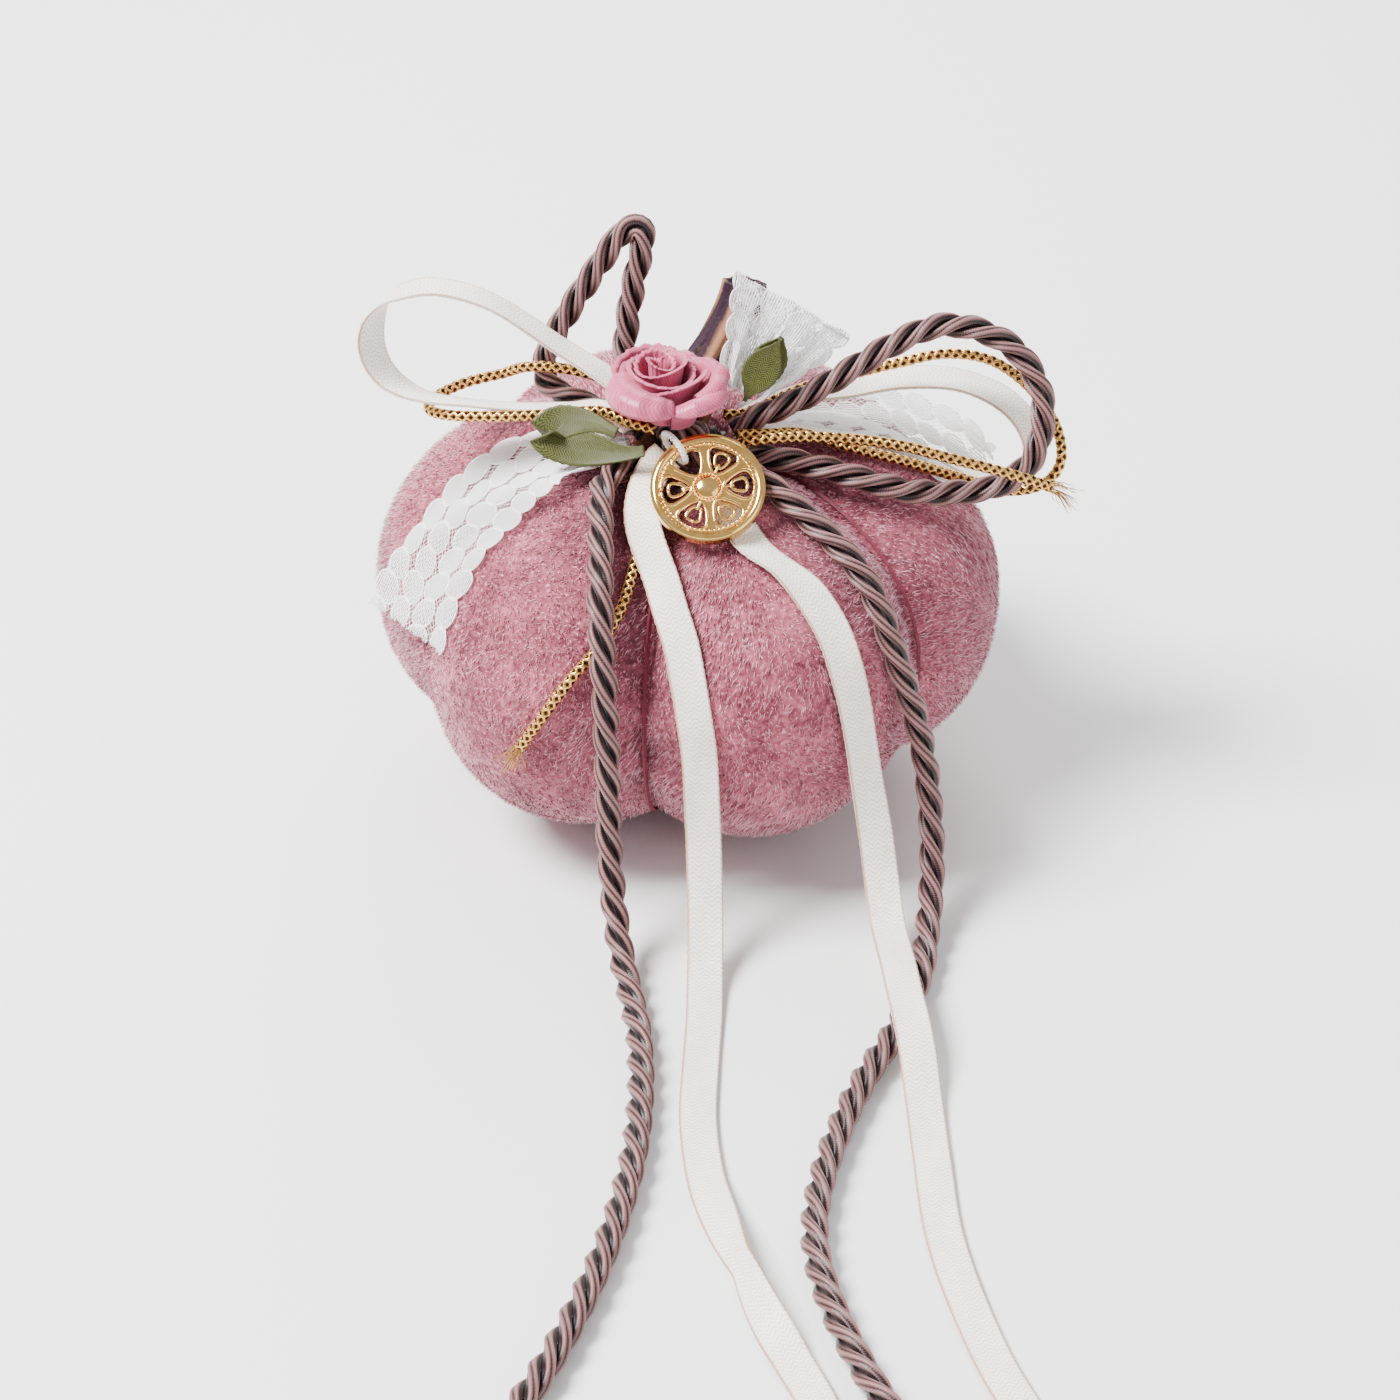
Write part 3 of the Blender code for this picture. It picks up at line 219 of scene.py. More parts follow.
@dataclass(frozen=True)
class Finish:
    """One finish: two tones that its detail mixes, and how it takes the light.

    Args:
        name: name of the finish, and the start of its material's name.
        surface: kind of surface detail.
        low: linear colour in the hollows.
        high: linear colour on the raised parts.
        roughness: roughness of the surface.
        metallic: 1 for metal.
        sheen: weight of the cloth sheen.
        sheen_tint: linear colour of the sheen.
        grain: size of the detail in metres.
        relief: depth of the detail in metres.
        shine: anisotropic stretch of the highlights.
        edge: linear colour of a woven edge, where it differs.
        patching: how strongly broad patches change the tone.
        span: heights at which the low and the high colour are reached.
        slot: name of the record's material slot, where it has another name; not used to give a slot.
    """

    name: str
    surface: Surface
    low: Colour
    high: Colour
    roughness: float = 0.6
    metallic: float = 0.0
    sheen: float = 0.0
    sheen_tint: Colour = (1.0, 1.0, 1.0)
    grain: float = 0.0006
    relief: float = 0.0001
    shine: float = 0.0
    edge: Colour | None = None
    patching: float = 0.3
    span: tuple[float, float] = (0.25, 0.75)
    slot: str = ""

    def material(self) -> bpy.types.Material:
        """Make the finish's material, once.

        Returns:
            The node-based material.
        """
        title = f"{self.name}_finish"
        made = bpy.data.materials.get(title)
        if made:
            return made
        made = bpy.data.materials.new(title)
        made.use_nodes = True
        bench = NodeBench(made)
        height = getattr(self, f"{self.surface.value}_height")(bench)
        tone = bench.ramp(height, (self.span[0], self.low), (self.span[1], self.high))
        tone = bench.blend("OVERLAY", self.patching, tone, bench.noise(bench.place, 1 / (40 * self.grain), 2))
        # Velvet pile gets pale pink speckles: painted highlights in its base colour.
        if self.surface is Surface.PILE:
            tone = self.paint_glints(bench, tone)
        if self.edge:
            tone = self.selvedge(bench, tone)
        bump = bench.node(
            "ShaderNodeBump", {"Strength": BUMP_STRENGTH, "Distance": self.relief, "Height": height}
        )
        bench.fill(bench.shader, {
            "Base Color": tone,
            "Metallic": self.metallic,
            "Roughness": bench.scaled(height, self.roughness * 0.85, self.roughness * 1.1),
            "Normal": bump.outputs["Normal"],
            "Sheen Weight": self.sheen,
            "Sheen Roughness": SHEEN_ROUGHNESS,
            "Sheen Tint": (*self.sheen_tint, 1),
            "Specular IOR Level": SPECULAR_LEVEL,
            "Anisotropic": self.shine,
        })
        return made

    def selvedge(self, bench: "NodeBench", tone: Socket) -> Socket:
        """Tint the two woven edges."""
        mask = bench.ramp(bench.folded(0.25), (0.016, WHITE), (0.042, BLACK))
        return bench.blend("MIX", mask, tone, (*self.edge, 1))

    def paint_glints(self, bench: "NodeBench", tone: Socket) -> Socket:
        """Paint pale pink speckles over the pile: painted highlights mixed into the base colour."""
        tips = bench.ramp(bench.noise(bench.place, 1 / (0.5 * self.grain), 3), (0.6, BLACK), (0.74, WHITE))
        return bench.blend("MIX", tips, tone, (*GLINT_PINK, 1))

    def pile_height(self, bench: "NodeBench") -> Socket:
        """Short brushed pile, lying in soft patches."""
        fine, broad = (bench.noise(bench.place, 1 / (size * self.grain), 3) for size in (1, 9))
        return bench.sum(fine, broad, 0.55)

    def felt_height(self, bench: "NodeBench") -> Socket:
        """Matted loose fibre."""
        return bench.noise(bench.place, 1 / self.grain, 6)

    def strands_height(self, bench: "NodeBench") -> Socket:
        """Fine fibres along a cord, mixed with the cord's relief, which carries painted shade between its plies and
        strands.
        """
        fibre = bench.sum(bench.wave(bench.run, "X", 1 / self.grain), bench.noise(bench.place, 1 / self.grain, 3), 0.45)
        return bench.sum(fibre, bench.relief, 0.3)

    def weave_height(self, bench: "NodeBench") -> Socket:
        """Close woven threads in a fine herringbone.

        Args:
            bench: the material's nodes.

        Returns:
            The height.
        """
        weft = bench.wave(bench.run, "X", 1 / self.grain)
        slant = bench.scaled(bench.folded(1 / 12), 0.0, 0.012)
        chevron = bench.node("ShaderNodeCombineXYZ", {"X": bench.along, "Y": slant})
        twill = bench.wave(chevron.outputs["Vector"], "DIAGONAL", 1.6 / self.grain)
        threads = bench.sum(weft, twill, 0.25)
        return bench.sum(threads, bench.noise(bench.place, 1 / (3 * self.grain), 3), 0.6)

    def braid_height(self, bench: "NodeBench") -> Socket:
        """Foil threads crossing round a cord, with painted shade in the hollows between them from the cord's relief."""
        return bench.sum(bench.noise(bench.place, 1 / self.grain, 2), bench.relief, 0.35)

    def bark_height(self, bench: "NodeBench") -> Socket:
        """Dry ribs and cracks along a stem.

        Args:
            bench: the material's nodes.

        Returns:
            The height.
        """
        drawn = bench.node("ShaderNodeMapping", {"Vector": bench.run, "Scale": (0.1 / self.grain, 5.0, 0)})
        ribs = bench.noise(drawn.outputs["Vector"], 1, 6)
        bark = bench.sum(ribs, bench.noise(bench.place, 1 / self.grain, 4), 0.65)
        return bench.sum(bark, bench.relief, 0.5)

    def metal_height(self, bench: "NodeBench") -> Socket:
        """Faint handling marks in a polish."""
        return bench.noise(bench.place, 1 / self.grain, 4)


class NodeBench:
    """The nodes of one material and the few ways that finishes join them."""

    def __init__(self, material: bpy.types.Material) -> None:
        """Start from the material's own shader.

        Args:
            material: the material, with its nodes in use.
        """
        self.tree = material.node_tree
        self.shader = self.tree.nodes["Principled BSDF"]
        self.place = self.node("ShaderNodeTexCoord").outputs["Object"]
        self.run = self.node("ShaderNodeAttribute", attribute_name="run").outputs["Vector"]
        parts = self.node("ShaderNodeSeparateXYZ", {"Vector": self.run}).outputs
        self.along, self.across, self.relief = parts["X"], parts["Y"], parts["Z"]

    def fill(self, node: bpy.types.Node, inputs: dict) -> None:
        """Join or set a node's inputs.

        Args:
            node: the node.
            inputs: for each input, a socket to join or a value to set.
        """
        for name, value in inputs.items():
            if isinstance(value, Socket):
                self.tree.links.new(value, node.inputs[name])
            else:
                node.inputs[name].default_value = value

    def node(self, kind: str, inputs: dict | None = None, **settings: str) -> bpy.types.Node:
        """Add one node.

        Args:
            kind: type of the node.
            inputs: for each input, a socket to join or a value to set.
            settings: the node's own settings, made before its inputs are.

        Returns:
            The node.
        """
        node = self.tree.nodes.new(kind)
        for setting, value in settings.items():
            setattr(node, setting, value)
        self.fill(node, inputs or {})
        return node

    def noise(self, place: Socket, scale: float, detail: float) -> Socket:
        """Even noise, with its repeats in a metre and its octaves."""
        return self.node("ShaderNodeTexNoise", {"Vector": place, "Scale": scale, "Detail": detail}).outputs["Fac"]

    def wave(self, place: Socket, direction: str, scale: float) -> Socket:
        """Even ridges across one direction."""
        ridges = self.node("ShaderNodeTexWave", {"Vector": place, "Scale": scale / 6}, bands_direction=direction)
        return ridges.outputs["Fac"]

    def folded(self, width: float) -> Socket:
        """The share across a piece, folded back and forth over a width."""
        return self.node("ShaderNodeMath", {0: self.across, 1: width}, operation="PINGPONG").outputs[0]

    def sum(self, first: Socket, second: Socket, share: float) -> Socket:
        """Two heights mixed, with the first's share."""
        return self.node("ShaderNodeMix", {"Factor": 1 - share, "A": first, "B": second}).outputs["Result"]

    def blend(self, kind: str, share: Socket | float, first: Socket, second: Socket | tuple) -> Socket:
        """Two colours blended in one of the colour modes, with the second's share."""
        inputs = {"Factor": share, "A": first, "B": second}
        return self.node("ShaderNodeMix", inputs, data_type="RGBA", blend_type=kind).outputs["Result"]

    def ramp(self, value: Socket, *stops: tuple[float, Colour]) -> Socket:
        """A ramp between two stops.

        Args:
            value: where on the ramp.
            stops: position and colour of the first stop and of the last.

        Returns:
            The colour.
        """
        ramp = self.node("ShaderNodeValToRGB", {"Fac": value})
        for stop, (position, colour) in zip(ramp.color_ramp.elements, stops):
            stop.position = position
            stop.color = (*colour, 1)
        return ramp.outputs["Color"]

    def scaled(self, value: Socket, low: float, high: float) -> Socket:
        """A value taken from 0..1 to low..high."""
        return self.node("ShaderNodeMapRange", {"Value": value, "To Min": low, "To Max": high}).outputs["Result"]


VELVET = Finish(
    "dusty_pink_velvet", Surface.PILE, (0.1, 0.01, 0.022), (0.46, 0.115, 0.16), 0.9,
    sheen=0.55, sheen_tint=(1.0, 0.72, 0.8), grain=0.0011, relief=0.0006, patching=0.8, span=(0.33, 0.66),
)
PILE_DEEP = Finish(
    "dusty_pink_pile", Surface.FELT, (0.13, 0.015, 0.03), (0.44, 0.11, 0.155), 0.8,
    sheen=0.25, sheen_tint=(1.0, 0.7, 0.8), grain=0.006, slot="dusty_pink_velvet",
)
# Pale pile blades: the blades are real pile, but their near-white pink is painted highlights, standing in for the
# speckled highlights of the velvet.
PILE_GLINTS = Finish(
    "painted_pile_glints", Surface.FELT, (0.46, 0.13, 0.18), (0.96, 0.56, 0.64), 0.5,
    sheen=0.3, grain=0.005, slot="dusty_pink_velvet",
)
FIBRE = Finish("white_fibre", Surface.FELT, (0.7, 0.69, 0.67), (0.9, 0.89, 0.87), 0.95, grain=0.001)
FELT = Finish("pink_felt", Surface.FELT, (0.16, 0.03, 0.05), (0.32, 0.08, 0.13), 0.95, sheen=0.2)
THREAD = Finish("pink_thread", Surface.FELT, (0.08, 0.006, 0.015), (0.2, 0.025, 0.05), grain=0.0004)
BARK = Finish(
    "dried_stem", Surface.BARK, (0.016, 0.002, 0.01), (0.26, 0.12, 0.06), 0.7,
    grain=0.0007, relief=0.0009, span=(0.4, 0.62),
)
# The near-black low tone is painted shade: the cord's relief puts it in the grooves between the plies and down the
# sides where the strands press together.
MAUVE = Finish(
    "mauve_twisted_cord", Surface.STRANDS, (0.006, 0.002, 0.003), (0.25, 0.115, 0.11), 0.42,
    sheen=0.12, sheen_tint=(1.0, 0.85, 0.8), grain=0.00022,
)
CREAM = Finish(
    "cream_satin", Surface.WEAVE, (0.74, 0.64, 0.53), (1.0, 0.98, 0.94), 0.34,
    sheen=0.2, grain=0.00036, relief=0.00006, shine=0.4, edge=(0.5, 0.28, 0.18),
)
# The near-black low tone is painted shade in the hollows where the braided threads cross.
GOLD_THREAD = Finish(
    "gold_metallic_cord", Surface.BRAID, (0.04, 0.012, 0.002), (0.9, 0.5, 0.14), 0.26,
    metallic=0.9, grain=0.0003, relief=0.00015,
)
LACE = Finish(
    "white_lace", Surface.FELT, (0.93, 0.91, 0.91), (1.0, 1.0, 1.0), 0.7, sheen=0.3, grain=0.0003, relief=0.00005,
)
ROSE = Finish(
    "pink_satin", Surface.WEAVE, (0.4, 0.065, 0.13), (0.54, 0.11, 0.2), 0.32,
    sheen=0.2, sheen_tint=(1.0, 0.8, 0.86), grain=0.0002, relief=0.00004, shine=0.5,
)
OLIVE = Finish(
    "olive_satin", Surface.WEAVE, (0.014, 0.016, 0.002), (0.09, 0.095, 0.018), 0.5, grain=0.0002, relief=0.00004,
)
GOLD = Finish(
    "polished_gold", Surface.METAL, (0.86, 0.5, 0.12), (1.0, 0.68, 0.24), 0.13,
    metallic=1.0, grain=0.0015, relief=0.00002,
)
COTTON = Finish("white_cotton", Surface.STRANDS, (0.7, 0.66, 0.6), (1.0, 0.98, 0.94), 0.8, sheen=0.2)


# ---- Lines, tubes and sheets ----


def even_line(points: Grid, spacing: float) -> Grid:
    """Even points along the smooth curve through the route's own points.

    Args:
        points: the route's points.
        spacing: distance between the points wanted.

    Returns:
        The points, one row each.
    """
    posts = np.vstack([2 * points[0] - points[1], points, 2 * points[-1] - points[-2]])
    a, b, c, d = (posts[i : len(posts) - 3 + i, None, :] for i in range(4))
    t = (np.arange(12) / 12)[None, :, None]
    fine = 0.5 * (2 * b + (c - a) * t + (2 * a - 5 * b + 4 * c - d) * t**2 + (3 * b - a - 3 * c + d) * t**3)
    fine = np.vstack([fine.reshape(-1, 3), posts[-2]])
    walked = lengths_along(fine)
    count = max(4, round(walked[-1] / spacing))
    at = np.linspace(0, walked[-1], count + 1)
    return np.stack([np.interp(at, walked, fine[:, axis]) for axis in range(3)], axis=1)


def lengths_along(line: Grid) -> Grid:
    """Distance walked at each point of a line."""
    return np.concatenate([[0], np.cumsum(np.linalg.norm(np.diff(line, axis=0), axis=1))])


def unit(vectors: Grid) -> Grid:
    """Vectors of length 1."""
    return vectors / np.maximum(np.linalg.norm(vectors, axis=-1, keepdims=True), 1e-12)


def side_frames(line: Grid) -> tuple[Grid, Grid]:
    """Two directions square to a line, carried along it without twist.

    Args:
        line: points of the line.

    Returns:
        The two directions at each point.
    """
    ahead = unit(np.gradient(line, axis=0))
    sides = [unit(np.cross(ahead[0], (0.3, 0.2, 1.0)))]
    for tangent in ahead[1:]:
        sides.append(unit(sides[-1] - tangent * sides[-1].dot(tangent)))
    return np.array(sides), np.cross(ahead, sides)


def strip_frames(stations: Grid, spacing: float) -> tuple[Grid, Grid, Grid, Grid]:
    """The middle line of a strip and how the strip lies along it.

    Args:
        stations: rows of the strip's route.
        spacing: distance between the points wanted.

    Returns:
        The middle line, the directions ahead and across at each point, and what else the stations give.
    """
    posts = stations[:, :3]
    middle = even_line(posts, spacing)
    at = np.linspace(0, 1, len(middle)) * lengths_along(posts)[-1]
    facts = np.stack([np.interp(at, lengths_along(posts), column) for column in stations[:, 3:].T], axis=1)
    ahead = unit(np.gradient(middle, axis=0))
    across = facts[:, :3]
    across = unit(across - ahead * (across * ahead).sum(axis=1, keepdims=True))
    return middle, ahead, across, facts[:, 3:]


def arms(angle: Grid, first: Grid, second: Grid) -> Grid:
    """Directions at an angle between two others, at each point of a line."""
    return np.cos(angle)[:, None] * first + np.sin(angle)[:, None] * second


class Shape:
    """Surfaces gathered into the mesh of one piece."""

    def __init__(self) -> None:
        """Start with nothing."""
        self.points: list[Grid] = []
        self.runs: list[Grid] = []
        self.faces: list = []
        self.count = 0

    def add(self, points: Grid, faces: list, run: Grid | None = None) -> None:
        """Add points and the faces that use them.

        Args:
            points: one row for each point.
            faces: faces as indices into the points.
            run: distance along and across the piece at each point.
        """
        self.points.append(points)
        self.runs.append(np.zeros_like(points) if run is None else run)
        self.faces.extend([[i + self.count for i in face] for face in faces])
        self.count += len(points)

    def grid(
        self, points: Grid, around: bool = False, closed: bool = False, caps: bool = False, relief: Grid | float = 0.5
    ) -> None:
        """Add a surface given as rows of points.

        Args:
            points: array of rows, columns and 3.
            around: the last column joins the first.
            closed: the last row joins the first.
            caps: the two end rows are filled.
            relief: 0 in the hollows and 1 on the raised parts.
        """
        rows, columns = points.shape[:2]
        index = np.arange(rows * columns).reshape(rows, columns)
        across = np.roll(index, -1, axis=1) if around else index[:, 1:]
        here = index if around else index[:, :-1]
        if closed:
            ahead_here, ahead_across = np.roll(here, -1, axis=0), np.roll(across, -1, axis=0)
        else:
            ahead_here, ahead_across, here, across = here[1:], across[1:], here[:-1], across[:-1]
        quads = np.stack([here, across, ahead_across, ahead_here], axis=-1).reshape(-1, 4).tolist()
        if caps:
            quads += [index[0][::-1].tolist(), index[-1].tolist()]
        along = lengths_along(points.mean(axis=1))
        run = np.zeros_like(points)
        run[..., 0] = along[:, None]
        run[..., 1] = np.linspace(0, 1, columns)[None, :]
        run[..., 2] = relief
        self.add(points.reshape(-1, 3), quads, run.reshape(-1, 3))

    def tube(self, line: Grid, radius: float | Grid, sides: int = 6) -> None:
        """Add a round tube with filled ends.

        Args:
            line: points of its middle line.
            radius: radius, for each point or for each point and side.
            sides: corners of its section.
        """
        first, second = side_frames(line)
        self.grid(ring_rows(line, first, second, radius, sides), around=True, caps=True)

    def cloth(self, middle: Grid, thickness: float) -> None:
        """Add a sheet with two faces and closed edges.

        Args:
            middle: rows of points in the middle of the cloth.
            thickness: cloth thickness.
        """
        along, across = np.gradient(middle, axis=0), np.gradient(middle, axis=1)
        normal = unit(np.cross(along, across)) * thickness / 2
        rows, columns = middle.shape[:2]
        both = np.concatenate([middle + normal, (middle - normal)[:, ::-1]], axis=1)
        index = np.arange(rows * columns * 2).reshape(rows, columns * 2) + self.count
        self.grid(both, around=True)
        for row, turn in ((index[0], -1), (index[-1], 1)):
            for j in range(columns - 1):
                face = [row[j], row[j + 1], row[2 * columns - 2 - j], row[2 * columns - 1 - j]]
                self.faces.append([int(i) for i in face[::turn]])

    def build(self, name: str, finish: Finish, *nodes: str, body: str = "root") -> bpy.types.Object:
        """Make the piece, smooth shaded, and set it on its body.

        Args:
            name: the piece's name.
            finish: its finish.
            nodes: parts that it stands for.
            body: body that it rides on.

        Returns:
            The piece.
        """
        mesh = bpy.data.meshes.new(name)
        mesh.from_pydata(np.vstack(self.points).tolist(), [], self.faces)
        run = mesh.attributes.new("run", "FLOAT_VECTOR", "POINT")
        run.data.foreach_set("vector", np.vstack(self.runs).astype(np.float32).ravel())
        mesh.shade_smooth()
        mesh.materials.append(finish.material())
        piece = bpy.data.objects.new(name, mesh)
        bpy.context.scene.collection.objects.link(piece)
        finish.slot or finish.name
        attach(piece, body)
        if nodes:
            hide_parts(*nodes)
        LOG.info("%s: %d faces", name, len(mesh.polygons))
        return piece


def ring_rows(line: Grid, first: Grid, second: Grid, radius: float | Grid, sides: int) -> Grid:
    """Rings of points round a line.

    Args:
        line: middle points.
        first: first direction across, at each point.
        second: second direction across, at each point.
        radius: radius for each point, or for each point and side.
        sides: points of one ring.

    Returns:
        Rows of ring points.
    """
    turn = np.arange(sides) * math.tau / sides
    reach = np.asarray(radius, float)
    if reach.ndim < 2:
        reach = reach.reshape(-1, 1)
    arm = np.cos(turn)[None, :, None] * first[:, None, :] + np.sin(turn)[None, :, None] * second[:, None, :]
    return line[:, None, :] + reach[..., None] * arm


def lay_as_cord(
    piece: bpy.types.Object, line: Grid, diameter: float, far_end: str, ends: tuple = ()
) -> None:
    """Read a cord's first point, its length and its end pieces, and do nothing with them.

    Args:
        piece: the cord or ribbon; not used.
        line: its middle line.
        diameter: its diameter, or a ribbon's width; not used.
        far_end: what is on its far end; not used.
        ends: separate pieces on it.
    """
    tuple(line[0])
    float(lengths_along(line)[-1])
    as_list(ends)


# ---- Studio ----


@dataclass
class Studio:
    """Pale table, soft lights and the camera.

    Args:
        lens: focal length in millimetres.
        camera_place: where the camera stands.
        camera_pitch: degrees up from looking straight down.
        floor_half: half the table's side.
        floor_tone: linear colour of the table.
        sky_tone: linear colour of the light from all round.
        sky_strength: strength of that light.
        lamps: name, place, size and power of each lamp.
    """

    lens: float = 90.0
    camera_place: tuple[float, float, float] = (0.0025, -0.53205, 0.36004)
    camera_pitch: float = 56.585
    floor_half: float = 2.5
    floor_tone: Colour = (0.87, 0.865, 0.855)
    sky_tone: Colour = (0.96, 0.97, 1.0)
    sky_strength: float = 0.62
    lamps: tuple = (
        ("window", (-0.72, -0.1, 1.05), 0.55, 62.0),
        ("fill", (1.1, -0.9, 0.6), 1.2, 9.0),
        ("rim", (0.15, 1.0, 0.7), 0.8, 14.0),
    )

    def build(self) -> None:
        """Set up the camera, the table and the lights."""
        scene = bpy.context.scene
        eye = bpy.data.cameras.new("camera")
        eye.lens, eye.sensor_width = self.lens, 36
        eye.clip_start = 0.01
        camera = bpy.data.objects.new("camera", eye)
        camera.location = self.camera_place
        camera.rotation_euler = (math.radians(self.camera_pitch), 0, 0)
        scene.collection.objects.link(camera)
        scene.camera = camera
        self.floor()
        self.lights()
        world = bpy.data.worlds.new("studio")
        world.use_nodes = True
        sky = world.node_tree.nodes["Background"]
        sky.inputs["Color"].default_value = (*self.sky_tone, 1)
        sky.inputs["Strength"].default_value = self.sky_strength
        scene.world = world

    def floor(self) -> None:
        """A plain pale table top."""
        half = self.floor_half
        mesh = bpy.data.meshes.new("table_top")
        mesh.from_pydata([(-half, -half, 0), (half, -half, 0), (half, half, 0), (-half, half, 0)], [], [(0, 1, 2, 3)])
        paint = bpy.data.materials.new("table_paint")
        paint.use_nodes = True
        shader = paint.node_tree.nodes["Principled BSDF"]
        shader.inputs["Base Color"].default_value = (*self.floor_tone, 1)
        shader.inputs["Roughness"].default_value = 0.6
        mesh.materials.append(paint)
        table = bpy.data.objects.new("table_top", mesh)
        bpy.context.scene.collection.objects.link(table)

    def lights(self) -> None:
        """A large soft window from the upper left, a fill from the right and a rim light from behind."""
        for name, place, size, power in self.lamps:
            lamp = bpy.data.lights.new(name, "AREA")
            lamp.size, lamp.energy = size, power
            light = bpy.data.objects.new(name, lamp)
            light.location = place
            light.rotation_euler = (Vector((0, 0, 0.04)) - Vector(place)).to_track_quat("-Z", "Y").to_euler()
            bpy.context.scene.collection.objects.link(light)


# ---- Velvet body ----


@dataclass
class PumpkinBody:
    """Six-lobed velvet cushion and the hidden parts that it holds.

    Args:
        radius: crest of a lobe at its widest.
        half_height: half the cushion's height.
        top_fullness: how square its section is above the middle.
        base_fullness: how square its section is below the middle.
        creases: plan angles of the creases, in degrees.
        crease_depth: share of the radius that the thread pulls in.
        roundness: how sharply a lobe falls to its creases.
        top_dip: depth of the dip round the stem.
        base_dip: depth of the dip underneath.
        top_dip_width: reach of the dip round the stem.
        base_dip_width: reach of the dip underneath.
        top_lean: how far the top stands back.
        pucker_depth: depth of the puckers along a crease.
        pucker_reach: how far the puckers reach from a crease.
        stitch_depth: depth of the small pulls close to a crease.
        stitch_reach: how far the small pulls reach.
        gather_depth: depth of the gathers round the neck.
        lump_height: height of the soft lumps of the filling.
        pile_length: length of the longest pile tips.
        pile_count: number of pile tips of one tone.
        tip_width: half the width of a pile tip at its foot.
        comb: how far the brushed patches slant.
        rows: rows of points from the base to the top.
        columns_per_lobe: points round one lobe.
    """

    radius: float = 0.055
    half_height: float = 0.034
    top_fullness: float = 2.3
    base_fullness: float = 2.6
    creases: tuple[float, ...] = (-158, -98, -35, 25, 84, 142)
    crease_depth: float = 0.13
    roundness: float = 0.8
    top_dip: float = 0.009
    base_dip: float = 0.006
    top_dip_width: float = 0.016
    base_dip_width: float = 0.012
    top_lean: float = 0.004
    pucker_depth: float = 0.0013
    pucker_reach: float = 0.0075
    stitch_depth: float = 0.0004
    stitch_reach: float = 0.004
    gather_depth: float = 0.0008
    lump_height: float = 0.00045
    pile_length: float = 0.0009
    pile_count: int = 48000
    tip_width: float = 0.0001
    comb: float = 0.02
    rows: int = 216
    columns_per_lobe: int = 76

    def angle(self, turn: Grid) -> Grid:
        """Plan angle for a turn.

        Args:
            turn: turn of 0 to 6, where each whole number is a crease.

        Returns:
            The angle.
        """
        whole = np.floor(turn).astype(int) % 6
        starts = np.array(self.creases, float)
        start, end = starts[whole], starts[(whole + 1) % 6]
        return np.radians(start + (end - start) % 360 * (turn - np.floor(turn)))

    def turn(self, angle: Grid) -> Grid:
        """Turn for a plan angle.

        Args:
            angle: the plan angle.

        Returns:
            The turn of 0 to 6.
        """
        starts = np.array(self.creases + (self.creases[0] + 360,), float)
        degrees = (np.degrees(angle) - starts[0]) % 360 + starts[0]
        return np.interp(degrees, starts, np.arange(7))

    def reach(self, turn: Grid, elevation: Grid) -> Grid:
        """Distance of the velvet from the cushion's centre, before its wrinkles.

        Args:
            turn: turn of 0 to 6.
            elevation: angle up from the cushion's middle.

        Returns:
            The distances.
        """
        power = np.where(elevation > 0, self.top_fullness, self.base_fullness)
        across = (np.abs(np.cos(elevation)) / self.radius) ** power
        upward = (np.abs(np.sin(elevation)) / self.half_height) ** power
        plain = (across + upward) ** (-1 / power)
        flat = plain * np.cos(elevation)
        depth = np.where(elevation > 0, self.top_dip, self.base_dip)
        width = np.where(elevation > 0, self.top_dip_width, self.base_dip_width)
        bulge = np.abs(np.sin(np.pi * (turn - np.floor(turn)))) ** self.roundness
        pulled = self.crease_depth * (1 - bulge) * np.minimum(1, flat / self.base_dip_width)
        return plain * (1 - pulled) - depth * np.exp(-((flat / width) ** 2))

    def wrinkles(self, turn: Grid, elevation: Grid) -> Grid:
        """How far the velvet rises in soft lumps, and sinks where the threads gather it.

        Args:
            turn: turn of 0 to 6.
            elevation: angle up from the cushion's middle.

        Returns:
            The lifts.
        """
        share = turn - np.floor(turn)
        lobe = np.floor(turn) % 6
        near = np.minimum(share, 1 - share) * self.radius * np.maximum(np.cos(elevation), 0.05)
        side = np.where(share < 0.5, 0.0, 1.7)
        pucker = 0.5 + 0.5 * np.sin(elevation * 17 + lobe * 2.3 + side + 1.4 * np.sin(elevation * 5 + lobe))
        gather = 0.5 + 0.5 * np.sin(self.angle(turn) * 19 + 2 * np.sin(self.angle(turn) * 3))
        neck = np.exp(-(((np.degrees(elevation) - 74) / 11) ** 2))
        soft = np.sin(elevation * 6.1 + lobe * 1.9) * np.sin(share * 7.3 + lobe)
        fine = 0.5 + 0.5 * np.sin(elevation * 31 + share * 9 + lobe * 4)
        return (
            -self.pucker_depth * pucker * np.exp(-((near / self.pucker_reach) ** 2))
            - self.stitch_depth * fine * np.exp(-((near / self.stitch_reach) ** 2))
            - self.gather_depth * gather * neck
            + self.lump_height * soft * np.cos(elevation)
        )

    def point(self, turn: Grid, elevation: Grid, lift: float | Grid = 0.0) -> Grid:
        """Points of the cushion's skin.

        Args:
            turn: turn of 0 to 6.
            elevation: angle up from the cushion's middle.
            lift: how far the points stand off the skin.

        Returns:
            The points.
        """
        far = self.reach(turn, elevation) + lift
        flat = far * np.cos(elevation)
        plan = self.angle(turn)
        z = far * np.sin(elevation)
        lean = self.top_lean * (np.maximum(z, 0) / self.half_height) ** 2
        return np.stack(
            [flat * np.cos(plan), flat * np.sin(plan) + lean, np.maximum(z + self.half_height, 0.0004)], axis=-1
        )

